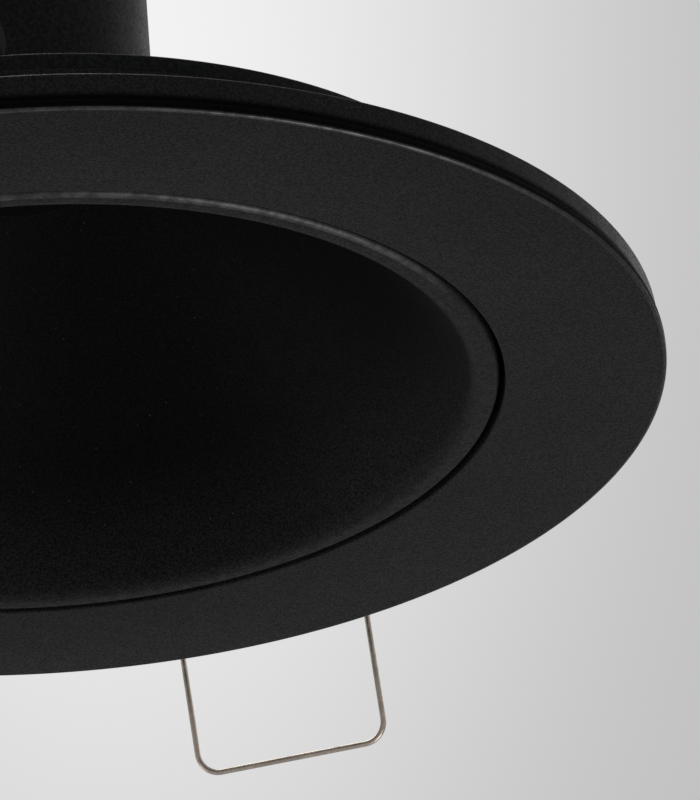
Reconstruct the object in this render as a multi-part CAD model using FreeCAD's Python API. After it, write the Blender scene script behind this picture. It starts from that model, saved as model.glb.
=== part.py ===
import FreeCAD, Part
import math
import os

# Recessed soffit downlight. Millimetres, +Z up into the soffit. The origin is the centre of
# the seat: the plane where the trim ring's rim bears on the soffit board. The light shines
# down. The two spring clips lie on the Y axis, front at +Y and rear at -Y.

V = FreeCAD.Vector
X_AXIS = V(1, 0, 0)
Z_AXIS = V(0, 0, 1)
ORIGIN = V(0, 0, 0)

# --- trim ring: face ring, set-back rim wall, collar and the ledge inside the collar
TRIM_OVERHANG = 19.0        # trim's edge beyond the collar's outside
TRIM_DEPTH = 5.2            # seat plane down to the face
FACE_EDGE = 1.6             # thickness of the face's rounded outer edge
RIM_SETBACK = 1.2              # the rim wall stands in by this much behind that edge
RIM_WALL = 1.8
RIM_BACK_ROUND = 0.5
FACE_THICKNESS = 2.0
INNER_EDGE_ROUND = 0.5
COLLAR_RADIUS = 61.0
COLLAR_WALL = 1.5
COLLAR_HEIGHT = 10.8        # seat plane up to the joint with the rear housing
COLLAR_ROOT = 1.0           # extra wall below the seat plane
LEDGE_WIDTH = 6.9
LEDGE_THICKNESS = 2.5
TRIM_BOSS_RADIUS = 3.0
TRIM_BOSS_FLOOR = 0.8       # below the blind screw hole
TRIM_SCREW_INSET = 4.5      # from the collar's bore
TRIM_SCREW_COUNT = 4
TRIM_SCREW_ANGLE = 45.0      # first screw, from +X
TRIM_SCREW_LENGTH = 8.0

# --- seals
GASKET_SIDE_GAP = 0.6
SEAL_WIDTH = 2.0            # squeezed width of the housing seal
SEAL_DEPTH = 1.5
SEAL_GROOVE_GAP = 0.1
SEAL_ROUND = 0.4
SEAL_INSET = 2.9            # middle of the seal, from the collar's outside

# --- baffle cone: rolled lip, outer skirt and a bowl that ends in a flat flange
LIP_GAP = 1.0               # open gap round the lip
LIP_OUTER_ROLL = 1.2
LIP_FLAT = 0.5
LIP_INNER_ROLL = 2.2
LIP_ANGLE = 56.0            # slope of the bowl where it leaves the lip, from the horizontal
BAFFLE_WALL = 1.0
SKIRT_HEIGHT = 8.0
BAFFLE_DEPTH = 37.2         # face up to the underside of the top flange
BAFFLE_TOP_RADIUS = 15.0

# --- rear housing: bell over the baffle, slim can, web that carries the LED
BELL_AIR_GAP = 0.4
BELL_WALL = 1.6
FLANGE_THICKNESS = 2.2
FLANGE_ROUND = 1.0
CAN_RADIUS = 17.6
CAN_WALL = 2.6
OPTIC_HEIGHT = 14.0         # lens seat up to the web
WEB_THICKNESS = 4.0
CHAMBER_HEIGHT = 20.5
LEAD_HOLE_GAP = 0.3

# --- lens stack, threaded into the can's mouth
RETAINER_THREAD_RADIUS = 13.0
RETAINER_BORE = 10.0
RETAINER_EDGE_GAP = 0.2     # from the baffle's bowl
RETAINER_FLANGE = 1.0
RETAINER_LENGTH = 4.5       # including its flange
KEY_WIDTH = 1.2             # key slot across the retainer
KEY_DEPTH = 0.5
GLASS_THICKNESS = 3.0
GLASS_EDGE_GAP = 0.5
LENS_SEAT = 2.2             # width of the ledge over the glass
LENS_SEAL_THICKNESS = 1.0
LENS_SEAL_SETBACK = 0.4

# --- LED engine
PAD_THICKNESS = 0.5
BOARD_SIDE = 13.0
BOARD_THICKNESS = 1.0
EMITTER_RADIUS = 4.5
EMITTER_THICKNESS = 0.5
HOLDER_GAP = 0.5            # from the can's optic bore
HOLDER_THICKNESS = 3.2
HOLDER_OPENING = 5.6
POCKET_GAP = 0.2
LED_SCREW_SPACE = 1.6       # screw's middle from the board's pocket
LED_SCREW_LENGTH = 5.0
LEAD_RADIUS = 0.7
LEAD_SPACE = 1.7            # lead's middle from the board's pocket
LEAD_SEAT = 1.6             # depth in the holder
LEAD_REACH = 3.0            # depth in the terminal block
REFLECTOR_WALL = 0.8
THROAT_INSET = 0.2          # reflector's throat, inside the holder's opening
REFLECTOR_GAP = 0.3         # from the can's optic bore
REFLECTOR_RIM_WIDTH = 0.9
REFLECTOR_RIM_THICKNESS = 0.8

# --- terminals in the chamber
BLOCK_WIDTH = 10.0
BLOCK_LENGTH = 21.0
BLOCK_HEIGHT = 10.0
POLE_OFFSET = 5.25
BLOCK_NOTCH = 1.8           # groove between the poles
CLAMP_OUTER = 2.6
CLAMP_BORE = 1.5
CLAMP_HEIGHT = 4.0          # centre of the clamp above the block's foot
CLAMP_SETBACK = 0.6         # ends of the clamps, from the block's sides
TERMINAL_SCREW_SINK = 0.6   # screw heads lie this far below the block's top

# --- rear cap and its seal
CAP_SEAL_THICKNESS = 1.0
CAP_SEAL_WIDTH = 1.4
CAP_THICKNESS = 4.0
CAP_EDGE_ROUND = 1.0
CAP_BOSS_RADIUS = 3.0
CAP_SCREW_INSET = 5.0       # from the can's outside
CAP_SCREW_ANGLE = 32.0       # from the X axis, on both sides
CAP_SCREW_LENGTH = 12.0

# --- cable gland, M12 thread
GLAND_THREAD_RADIUS = 6.0
GLAND_HEX = 15.0            # across flats
GLAND_HEX_HEIGHT = 5.0
GLAND_STUB = 8.0            # thread above the hexagon
GLAND_TAIL_PROUD = 1.0      # thread that shows below the locknut
GLAND_BORE = 4.0
GLAND_SOCKET = 4.7
GLAND_SOCKET_DEPTH = 7.0
WASHER_THICKNESS = 1.0
WASHER_WIDTH = 2.0
LOCKNUT_HEIGHT = 3.0
INSERT_BORE = 2.4
INSERT_PROUD = 0.6
NUT_SEAT_GAP = 0.3          # between the nut and the body's hexagon
NUT_HEX_HEIGHT = 6.0
NUT_TOP_WALL = 2.7
NUT_MOUTH = 3.6
NUT_TOP_RADIUS = 5.2

# --- clip brackets on the bell's flange
BRACKET_SHEET = 1.2
BRACKET_SETBACK = 3.0       # outer edge, from the collar's outside
BRACKET_INNER_GAP = 0.6     # from the foot of the bell
CHEEK_CLEAR = 0.6           # spring wire to cheek
CHEEK_RADIUS = 3.2          # round the pin
PIVOT_SETBACK = 3.6         # pin's middle, from the bracket's outer edge
TAIL_REST_WIDTH = 1.6       # pressed rib under each spring tail
TAIL_REST_LENGTH = 3.0
RIVET_RADIUS = 1.6
RIVET_HEAD_RADIUS = 2.7
RIVET_HEAD_HEIGHT = 1.1
RIVET_TAIL_RADIUS = 2.1
RIVET_TAIL_HEIGHT = 1.6
RIVET_GAP = 0.4             # from the spring tail's rib
RIVET_INSET = 3.1           # from the bracket's inner edge

# --- torsion springs
WIRE_RADIUS = 0.4
COIL_BORE_GAP = 0.5         # between the pin and the turns
COIL_TURN_GAP = 0.05        # between one turn and the next
COIL_TURNS = 4
COIL_FLOOR_GAP = 0.5        # wire to bracket floor
EYE_GAP = 0.35              # between the anchored turns and the arm's own turn
PIN_RADIUS = 1.8
PIN_HEAD_RADIUS = 2.6
PIN_HEAD_THICKNESS = 0.9
TAIL_LENGTH = 6.3
LOOP_WIDTH = 27.0           # leg to leg, centre lines
ARM_BEYOND_TRIM = 22.7      # cross bar, out from the trim's edge
ARM_BELOW_FACE = 7.0        # cross bar, below the trim's face
FOOT_ANGLE = 74.0           # steepness of the bent foot
BEND_SINK = 0.7             # corner of the bend, below the bracket's floor
BEND_RADIUS = 10.0
LOOP_CORNER_RADIUS = 3.0
JOIN_SWELL = 0.02           # the wire is thicker by this much where turn and leg meet

# --- fits and screws
RUNNING_FIT = 0.05
THREAD_FIT = 0.05
SAME_PLACE = 0.0001         # edges closer than this count as the same
SCREW_CLEAR = 0.2
M2_RADIUS = 1.0
M2_HEAD_RADIUS = 1.9
M2_HEAD_HEIGHT = 1.3
M3_RADIUS = 1.5
M3_HEAD_RADIUS = 2.8
M3_HEAD_HEIGHT = 1.65
DRIVE_WIDTH = 0.7
DRIVE_DEPTH = 0.8
THREAD_RUNOUT = 0.3         # hole bottom below a screw's tip

# --- places worked out from the sizes above
TRIM_RADIUS = COLLAR_RADIUS + TRIM_OVERHANG
FACE_Z = -TRIM_DEPTH
CHANNEL_Z = FACE_Z + FACE_THICKNESS
CHANNEL_OUTER = TRIM_RADIUS - RIM_SETBACK - RIM_WALL
CHANNEL_INNER = COLLAR_RADIUS + COLLAR_ROOT
COLLAR_BORE = COLLAR_RADIUS - COLLAR_WALL
SEAL_CIRCLE = COLLAR_RADIUS - SEAL_INSET
TRIM_SCREW_CIRCLE = COLLAR_BORE - TRIM_SCREW_INSET
FLANGE_TOP = COLLAR_HEIGHT + FLANGE_THICKNESS
MOUTH_Z = FACE_Z + BAFFLE_DEPTH + BAFFLE_WALL
RETAINER_Z = MOUTH_Z - BAFFLE_WALL - RETAINER_FLANGE
RETAINER_TOP = RETAINER_Z + RETAINER_LENGTH
GLASS_RADIUS = RETAINER_THREAD_RADIUS - GLASS_EDGE_GAP
GLASS_TOP = RETAINER_TOP + GLASS_THICKNESS
OPTIC_BORE = RETAINER_THREAD_RADIUS - LENS_SEAT
LEDGE_Z = GLASS_TOP + LENS_SEAL_THICKNESS
WEB_UNDERSIDE = LEDGE_Z + OPTIC_HEIGHT
WEB_TOP = WEB_UNDERSIDE + WEB_THICKNESS
HOLDER_Z = WEB_UNDERSIDE - HOLDER_THICKNESS
POCKET_HALF = BOARD_SIDE / 2 + POCKET_GAP
LEAD_OFFSET = POCKET_HALF + LEAD_SPACE
CHAMBER_RADIUS = CAN_RADIUS - CAN_WALL
CAN_TOP = WEB_TOP + CHAMBER_HEIGHT
CAP_UNDERSIDE = CAN_TOP + CAP_SEAL_THICKNESS
CAP_TOP = CAP_UNDERSIDE + CAP_THICKNESS
GLAND_SEAT = CAP_TOP + WASHER_THICKNESS
GLAND_HEX_TOP = GLAND_SEAT + GLAND_HEX_HEIGHT
GLAND_TOP = GLAND_HEX_TOP + GLAND_STUB
BRACKET_FLOOR = FLANGE_TOP + BRACKET_SHEET
BRACKET_REACH = COLLAR_RADIUS - BRACKET_SETBACK
PIVOT_REACH = BRACKET_REACH - PIVOT_SETBACK
COIL_RADIUS = PIN_RADIUS + COIL_BORE_GAP + WIRE_RADIUS
COIL_PITCH = 2 * WIRE_RADIUS + COIL_TURN_GAP
PIVOT_Z = BRACKET_FLOOR + COIL_FLOOR_GAP + WIRE_RADIUS + COIL_RADIUS
CHEEK_INNER = LOOP_WIDTH / 2 + WIRE_RADIUS + CHEEK_CLEAR
CHEEK_OUTER = CHEEK_INNER + BRACKET_SHEET
EYE_END = LOOP_WIDTH / 2
EYE_START = EYE_END - COIL_PITCH
COILS_END = EYE_START - 2 * WIRE_RADIUS - EYE_GAP
COILS_START = COILS_END - COIL_TURNS * COIL_PITCH
RIVET_OFFSET = COILS_START - TAIL_REST_WIDTH / 2 - RIVET_GAP - RIVET_HEAD_RADIUS
BEND_Z = BRACKET_FLOOR - BEND_SINK
CROSS_BAR_REACH = TRIM_RADIUS + ARM_BEYOND_TRIM
CROSS_BAR_Z = FACE_Z - ARM_BELOW_FACE


def line(a, b):
    return Part.LineSegment(a, b).toShape()


def arc(a, middle, b):
    return Part.Arc(a, middle, b).toShape()


def rz(radius, z):
    """A point of a turned profile: radius along X, height along Z."""
    return V(radius, 0, z)


def on_circle(centre, radius, degrees):
    """A point of the profile plane at an angle from +X towards +Z."""
    turn = math.radians(degrees)
    return centre + V(radius * math.cos(turn), 0, radius * math.sin(turn))


def revolve(edges):
    """Closed profile edges in the XZ plane, turned about Z."""
    return Part.Face(Part.Wire(edges)).revolve(ORIGIN, Z_AXIS, 360)


def turned(points):
    """A solid of revolution from the corners of its profile."""
    closed = points + points[:1]
    return revolve([line(a, b) for a, b in zip(closed, closed[1:])])


def disc(radius, z, height, x=0.0, y=0.0):
    return Part.makeCylinder(radius, height, V(x, y, z))


def ring(outer, inner, z, height):
    return disc(outer, z, height).cut(disc(inner, z, height))


def block(x_size, y_size, z, height, x=0.0, y=0.0):
    return Part.makeBox(x_size, y_size, height, V(x - x_size / 2, y - y_size / 2, z))


def hexagon(across_flats, z, height):
    corner = across_flats / math.sqrt(3)
    points = [V(corner * math.cos(i * math.pi / 3), corner * math.sin(i * math.pi / 3), z)
              for i in range(6)]
    closed = points + points[:1]
    sides = [line(a, b) for a, b in zip(closed, closed[1:])]
    return Part.Face(Part.Wire(sides)).extrude(V(0, 0, height))


def circle_edges(shape, radius, z):
    """The circular edges of this radius at this height, centred on the light's axis."""
    circles = [edge for edge in shape.Edges if isinstance(edge.Curve, Part.Circle)]
    return [edge for edge in circles if abs(edge.Curve.Radius - radius) < SAME_PLACE
            and (edge.Curve.Center - V(0, 0, z)).Length < SAME_PLACE]


def around(count, radius, first_degrees):
    """Places on a circle as (x, y)."""
    step = 360.0 / count
    turns = [math.radians(first_degrees + i * step) for i in range(count)]
    return [(radius * math.cos(turn), radius * math.sin(turn)) for turn in turns]


TRIM_SCREWS = around(TRIM_SCREW_COUNT, TRIM_SCREW_CIRCLE, TRIM_SCREW_ANGLE)
CAP_SCREWS = (around(2, CAN_RADIUS - CAP_SCREW_INSET, CAP_SCREW_ANGLE)
              + around(2, CAN_RADIUS - CAP_SCREW_INSET, -CAP_SCREW_ANGLE))
LED_SCREWS = around(2, POCKET_HALF + LED_SCREW_SPACE, 0.0)
LEADS = (-LEAD_OFFSET, LEAD_OFFSET)


def sunk_screw(x, y, top, length):
    """A countersunk M3 screw with a cross recess, head up, flush at top."""
    cone = Part.makeCone(M3_RADIUS, M3_HEAD_RADIUS, M3_HEAD_HEIGHT, V(x, y, top - M3_HEAD_HEIGHT))
    shank = disc(M3_RADIUS, top - length, length - M3_HEAD_HEIGHT, x, y)
    screw = cone.fuse(shank)
    slot_length = M3_HEAD_RADIUS
    for sizes in ((slot_length, DRIVE_WIDTH), (DRIVE_WIDTH, slot_length)):
        screw = screw.cut(block(sizes[0], sizes[1], top - DRIVE_DEPTH, DRIVE_DEPTH, x, y))
    return screw.removeSplitter()


def sunk_hole(x, y, top, depth):
    """The clearance hole and countersink that a sunk screw goes through."""
    grow = SCREW_CLEAR
    cone = Part.makeCone(M3_RADIUS, M3_HEAD_RADIUS, M3_HEAD_HEIGHT, V(x, y, top - M3_HEAD_HEIGHT))
    return cone.fuse(disc(M3_RADIUS + grow, top - depth, depth, x, y))


def thread_hole(x, y, top, depth, radius=M3_RADIUS):
    return disc(radius + THREAD_FIT, top - depth, depth, x, y)


# --- trim ring

def trim_ring():
    edge_radius = FACE_EDGE / 2
    edge_centre = rz(TRIM_RADIUS - edge_radius, FACE_Z + edge_radius)
    wall = TRIM_RADIUS - RIM_SETBACK
    ledge_inner = COLLAR_BORE - LEDGE_WIDTH
    ledge_z = COLLAR_HEIGHT - LEDGE_THICKNESS
    back_round = rz(wall - RIM_BACK_ROUND, -RIM_BACK_ROUND)
    inner_round = rz(COLLAR_BORE + INNER_EDGE_ROUND, FACE_Z + INNER_EDGE_ROUND)
    face_inner = rz(inner_round.x, FACE_Z)
    bore_low = rz(COLLAR_BORE, inner_round.z)
    edge_low = on_circle(edge_centre, edge_radius, -90)
    edge_high = on_circle(edge_centre, edge_radius, 90)
    corners = [edge_high, rz(wall, edge_high.z), rz(wall, back_round.z)]
    back = [on_circle(back_round, RIM_BACK_ROUND, 90), rz(CHANNEL_OUTER, 0),
            rz(CHANNEL_OUTER, CHANNEL_Z), rz(CHANNEL_INNER, CHANNEL_Z), rz(CHANNEL_INNER, 0),
            rz(COLLAR_RADIUS, 0), rz(COLLAR_RADIUS, COLLAR_HEIGHT), rz(ledge_inner, COLLAR_HEIGHT),
            rz(ledge_inner, ledge_z), rz(COLLAR_BORE, ledge_z), bore_low]
    edges = [line(face_inner, edge_low),
             arc(edge_low, on_circle(edge_centre, edge_radius, 0), edge_high)]
    edges += [line(a, b) for a, b in zip(corners, corners[1:])]
    edges.append(arc(corners[-1], on_circle(back_round, RIM_BACK_ROUND, 45), back[0]))
    edges += [line(a, b) for a, b in zip(back, back[1:])]
    edges.append(arc(bore_low, on_circle(inner_round, INNER_EDGE_ROUND, 225), face_inner))
    body = revolve(edges)
    hole_depth = TRIM_SCREW_LENGTH - FLANGE_THICKNESS + THREAD_RUNOUT
    boss_height = hole_depth + TRIM_BOSS_FLOOR
    for x, y in TRIM_SCREWS:
        body = body.fuse(disc(TRIM_BOSS_RADIUS, COLLAR_HEIGHT - boss_height, boss_height, x, y))
        body = body.cut(thread_hole(x, y, COLLAR_HEIGHT, hole_depth))
    groove_half = SEAL_WIDTH / 2 + SEAL_GROOVE_GAP
    groove = ring(SEAL_CIRCLE + groove_half, SEAL_CIRCLE - groove_half,
                  COLLAR_HEIGHT - SEAL_DEPTH, SEAL_DEPTH)
    return body.cut(groove).removeSplitter()


def soffit_gasket():
    """Sponge rubber ring, glued in the channel behind the face, level with the seat when squeezed."""
    outer = CHANNEL_OUTER - GASKET_SIDE_GAP
    inner = CHANNEL_INNER + GASKET_SIDE_GAP
    return ring(outer, inner, CHANNEL_Z, -CHANNEL_Z)


def housing_seal():
    outer = SEAL_CIRCLE + SEAL_WIDTH / 2
    inner = SEAL_CIRCLE - SEAL_WIDTH / 2
    foot = COLLAR_HEIGHT - SEAL_DEPTH
    seal = ring(outer, inner, foot, SEAL_DEPTH)
    return seal.makeFillet(SEAL_ROUND, circle_edges(seal, outer, foot) + circle_edges(seal, inner, foot))


def trim_screws():
    screws = [sunk_screw(x, y, FLANGE_TOP, TRIM_SCREW_LENGTH) for x, y in TRIM_SCREWS]
    return Part.makeCompound(screws)


# --- baffle cone and the bell that follows it

LIP_RADIUS = COLLAR_BORE - LIP_GAP
OUTER_ROLL_CENTRE = rz(LIP_RADIUS - LIP_OUTER_ROLL, FACE_Z + LIP_OUTER_ROLL)
INNER_ROLL_CENTRE = rz(OUTER_ROLL_CENTRE.x - LIP_FLAT, FACE_Z + LIP_INNER_ROLL)
BOWL_START = on_circle(INNER_ROLL_CENTRE, LIP_INNER_ROLL, 270 - LIP_ANGLE)
BOWL_END = rz(BAFFLE_TOP_RADIUS, FACE_Z + BAFFLE_DEPTH)


def bowl_circle():
    """Centre and radius of the arc that leaves the lip at LIP_ANGLE and ends at BOWL_END."""
    slope = math.radians(LIP_ANGLE)
    inward = V(-math.sin(slope), 0, -math.cos(slope))
    chord = BOWL_END - BOWL_START
    radius = chord.Length ** 2 / (2 * chord.dot(inward))
    return BOWL_START + inward * radius, radius


BOWL_CENTRE, BOWL_RADIUS = bowl_circle()
BELL_INNER = BOWL_RADIUS + BAFFLE_WALL + BELL_AIR_GAP
BELL_OUTER = BELL_INNER + BELL_WALL


def bowl_at_height(radius, z):
    """Where an arc about the bowl's centre crosses a height."""
    drop = z - BOWL_CENTRE.z
    return rz(BOWL_CENTRE.x + math.sqrt(radius ** 2 - drop ** 2), z)


def bowl_at_radius(radius, reach):
    """Where an arc about the bowl's centre comes to a distance from the light's axis."""
    across = reach - BOWL_CENTRE.x
    return rz(reach, BOWL_CENTRE.z + math.sqrt(radius ** 2 - across ** 2))


def bowl_arc(radius, a, b):
    """The arc about the bowl's centre between two of its points."""
    towards = (a - BOWL_CENTRE) + (b - BOWL_CENTRE)
    middle = BOWL_CENTRE + towards.normalize() * radius
    return arc(a, middle, b)


BELL_FOOT = bowl_at_height(BELL_OUTER, FLANGE_TOP)
BRACKET_INNER = BELL_FOOT.x + BRACKET_INNER_GAP


def baffle_cone():
    wall = BAFFLE_WALL
    skirt_top = FACE_Z + SKIRT_HEIGHT
    outer = OUTER_ROLL_CENTRE
    inner = INNER_ROLL_CENTRE
    half_way = 270 - LIP_ANGLE / 2
    top = BOWL_END.z + wall
    flange_inner = RETAINER_THREAD_RADIUS + SCREW_CLEAR
    shown = [rz(LIP_RADIUS, skirt_top), rz(LIP_RADIUS, outer.z)]
    hidden = [rz(LIP_RADIUS - wall, skirt_top), rz(LIP_RADIUS - wall, outer.z)]
    flat_shown = [on_circle(outer, LIP_OUTER_ROLL, 270), on_circle(inner, LIP_INNER_ROLL, 270)]
    flat_hidden = [p + V(0, 0, wall) for p in flat_shown]
    bowl_hidden_start = on_circle(inner, LIP_INNER_ROLL - wall, 270 - LIP_ANGLE)
    bowl_hidden_end = bowl_at_height(BOWL_RADIUS + wall, top)
    edges = [line(shown[0], shown[1]),
             arc(shown[1], on_circle(outer, LIP_OUTER_ROLL, 315), flat_shown[0]),
             line(flat_shown[0], flat_shown[1]),
             arc(flat_shown[1], on_circle(inner, LIP_INNER_ROLL, half_way), BOWL_START),
             bowl_arc(BOWL_RADIUS, BOWL_START, BOWL_END),
             line(BOWL_END, rz(flange_inner, BOWL_END.z)),
             line(rz(flange_inner, BOWL_END.z), rz(flange_inner, top)),
             line(rz(flange_inner, top), bowl_hidden_end),
             bowl_arc(BOWL_RADIUS + wall, bowl_hidden_end, bowl_hidden_start),
             arc(bowl_hidden_start, on_circle(inner, LIP_INNER_ROLL - wall, half_way),
                 flat_hidden[1]),
             line(flat_hidden[1], flat_hidden[0]),
             arc(flat_hidden[0], on_circle(outer, LIP_OUTER_ROLL - wall, 315), hidden[1]),
             line(hidden[1], hidden[0]),
             line(hidden[0], shown[0])]
    return revolve(edges)


def rear_housing():
    """Bell, can and web in one casting."""
    bell_low = bowl_at_height(BELL_INNER, COLLAR_HEIGHT)
    bell_mouth = bowl_at_height(BELL_INNER, MOUTH_Z)
    bell_join = bowl_at_radius(BELL_OUTER, CAN_RADIUS)
    mouth_bore = RETAINER_THREAD_RADIUS + THREAD_FIT
    inside = [bell_mouth, rz(mouth_bore, MOUTH_Z), rz(mouth_bore, LEDGE_Z), rz(OPTIC_BORE, LEDGE_Z),
              rz(OPTIC_BORE, WEB_UNDERSIDE), rz(0, WEB_UNDERSIDE), rz(0, WEB_TOP),
              rz(CHAMBER_RADIUS, WEB_TOP), rz(CHAMBER_RADIUS, CAN_TOP), rz(CAN_RADIUS, CAN_TOP),
              bell_join]
    flange_round = rz(COLLAR_RADIUS - FLANGE_ROUND, FLANGE_TOP - FLANGE_ROUND)
    round_high = on_circle(flange_round, FLANGE_ROUND, 90)
    round_low = on_circle(flange_round, FLANGE_ROUND, 0)
    foot = rz(COLLAR_RADIUS, COLLAR_HEIGHT)
    edges = [bowl_arc(BELL_INNER, bell_low, bell_mouth)]
    edges += [line(a, b) for a, b in zip(inside, inside[1:])]
    edges += [bowl_arc(BELL_OUTER, bell_join, BELL_FOOT),
              line(BELL_FOOT, round_high),
              arc(round_high, on_circle(flange_round, FLANGE_ROUND, 45), round_low),
              line(round_low, foot),
              line(foot, bell_low)]
    body = revolve(edges)
    boss_height = CAN_TOP - WEB_TOP
    for x, y in CAP_SCREWS:
        body = body.fuse(disc(CAP_BOSS_RADIUS, WEB_TOP, boss_height, x, y).common(
            disc(CAN_RADIUS, WEB_TOP, boss_height)))
    cap_hole = CAP_SCREW_LENGTH - CAP_THICKNESS - CAP_SEAL_THICKNESS + THREAD_RUNOUT
    for x, y in CAP_SCREWS:
        body = body.cut(thread_hole(x, y, CAN_TOP, cap_hole))
    for x, y in TRIM_SCREWS:
        body = body.cut(sunk_hole(x, y, FLANGE_TOP, FLANGE_THICKNESS))
    led_hole = LED_SCREW_LENGTH - led_screw_grip() + THREAD_RUNOUT
    for x, y in LED_SCREWS:
        body = body.cut(disc(M2_RADIUS + THREAD_FIT, WEB_UNDERSIDE, led_hole, x, y))
    for y in LEADS:
        body = body.cut(disc(LEAD_RADIUS + LEAD_HOLE_GAP, WEB_UNDERSIDE, WEB_THICKNESS, 0, y))
    for side in (-1, 1):
        for x in (-RIVET_OFFSET, RIVET_OFFSET):
            y = side * (BRACKET_INNER + RIVET_INSET)
            body = body.cut(disc(RIVET_RADIUS, COLLAR_HEIGHT, FLANGE_THICKNESS, x, y))
    return body.removeSplitter()


# --- lens stack

def lens_retainer():
    """Threaded ring with a slotted flange; it clamps the baffle's top flange and the glass."""
    flange_radius = BAFFLE_TOP_RADIUS - RETAINER_EDGE_GAP
    body = ring(flange_radius, RETAINER_BORE, RETAINER_Z, RETAINER_FLANGE)
    body = body.fuse(ring(RETAINER_THREAD_RADIUS, RETAINER_BORE, RETAINER_Z, RETAINER_LENGTH))
    return body.cut(block(2 * flange_radius, KEY_WIDTH, RETAINER_Z, KEY_DEPTH)).removeSplitter()


def lens_glass():
    return disc(GLASS_RADIUS, RETAINER_TOP, GLASS_THICKNESS)


def lens_seal():
    return ring(GLASS_RADIUS, OPTIC_BORE + LENS_SEAL_SETBACK, GLASS_TOP, LENS_SEAL_THICKNESS)


def reflector():
    """Thin bright cone: its rim lies on the glass, its throat against the LED holder."""
    rim = OPTIC_BORE - REFLECTOR_GAP
    mouth = rim - REFLECTOR_RIM_WIDTH
    throat = HOLDER_OPENING - THROAT_INSET
    rim_top = GLASS_TOP + REFLECTOR_RIM_THICKNESS
    return turned([rz(rim, GLASS_TOP), rz(rim, rim_top), rz(mouth + REFLECTOR_WALL, rim_top),
                   rz(throat + REFLECTOR_WALL, HOLDER_Z), rz(throat, HOLDER_Z), rz(mouth, GLASS_TOP)])


# --- LED engine, hung under the web

def led_screw_grip():
    return HOLDER_THICKNESS - M2_HEAD_HEIGHT


def thermal_pad():
    return block(BOARD_SIDE, BOARD_SIDE, WEB_UNDERSIDE - PAD_THICKNESS, PAD_THICKNESS)


def led_board():
    top = WEB_UNDERSIDE - PAD_THICKNESS
    return block(BOARD_SIDE, BOARD_SIDE, top - BOARD_THICKNESS, BOARD_THICKNESS)


def led_emitter():
    top = WEB_UNDERSIDE - PAD_THICKNESS - BOARD_THICKNESS
    return disc(EMITTER_RADIUS, top - EMITTER_THICKNESS, EMITTER_THICKNESS)


def led_holder():
    body = disc(OPTIC_BORE - HOLDER_GAP, HOLDER_Z, HOLDER_THICKNESS)
    pocket_depth = PAD_THICKNESS + BOARD_THICKNESS
    body = body.cut(block(2 * POCKET_HALF, 2 * POCKET_HALF, WEB_UNDERSIDE - pocket_depth, pocket_depth))
    body = body.cut(disc(HOLDER_OPENING, HOLDER_Z, HOLDER_THICKNESS))
    for x, y in LED_SCREWS:
        body = body.cut(disc(M2_RADIUS + THREAD_FIT, HOLDER_Z, HOLDER_THICKNESS, x, y))
        body = body.cut(disc(M2_HEAD_RADIUS + THREAD_FIT, HOLDER_Z, M2_HEAD_HEIGHT, x, y))
    for y in LEADS:
        body = body.cut(disc(LEAD_RADIUS + THREAD_FIT, WEB_UNDERSIDE - LEAD_SEAT, LEAD_SEAT, 0, y))
    return body


def led_screws():
    screws = []
    for x, y in LED_SCREWS:
        head = disc(M2_HEAD_RADIUS, HOLDER_Z, M2_HEAD_HEIGHT, x, y)
        shank = disc(M2_RADIUS, HOLDER_Z + M2_HEAD_HEIGHT, LED_SCREW_LENGTH, x, y)
        slot = block(2 * M2_HEAD_RADIUS, DRIVE_WIDTH, HOLDER_Z, DRIVE_DEPTH, x, y)
        screws.append(head.fuse(shank).cut(slot).removeSplitter())
    return Part.makeCompound(screws)


def lead(y):
    """A short straight lead from the LED holder, through the web, into the terminal block."""
    return disc(LEAD_RADIUS, WEB_UNDERSIDE - LEAD_SEAT, LEAD_SEAT + WEB_THICKNESS + LEAD_REACH, 0, y)


# --- terminals

def terminal_block():
    body = block(BLOCK_WIDTH, BLOCK_LENGTH, WEB_TOP, BLOCK_HEIGHT)
    clamp_z = WEB_TOP + CLAMP_HEIGHT
    for y in (-POLE_OFFSET, POLE_OFFSET):
        start = V(-BLOCK_WIDTH / 2, y, clamp_z)
        body = body.cut(Part.makeCylinder(CLAMP_OUTER, BLOCK_WIDTH, start, X_AXIS))
        shaft = disc(M2_HEAD_RADIUS + THREAD_FIT, clamp_z, BLOCK_HEIGHT - CLAMP_HEIGHT, 0, y)
        body = body.cut(shaft)
    for y in LEADS:
        body = body.cut(disc(LEAD_RADIUS + THREAD_FIT, WEB_TOP, LEAD_REACH, 0, y))
    return body.cut(block(BLOCK_WIDTH, BLOCK_NOTCH, WEB_TOP + BLOCK_HEIGHT - BLOCK_NOTCH, BLOCK_NOTCH))


def terminal_clamps():
    clamp_z = WEB_TOP + CLAMP_HEIGHT
    length = BLOCK_WIDTH - 2 * CLAMP_SETBACK
    clamps = []
    for y in (-POLE_OFFSET, POLE_OFFSET):
        start = V(-length / 2, y, clamp_z)
        tube = Part.makeCylinder(CLAMP_OUTER, length, start, X_AXIS)
        tube = tube.cut(Part.makeCylinder(CLAMP_BORE, length, start, X_AXIS))
        clamps.append(tube.cut(disc(M2_RADIUS + THREAD_FIT, clamp_z, CLAMP_OUTER, 0, y)))
    return Part.makeCompound(clamps)


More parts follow.
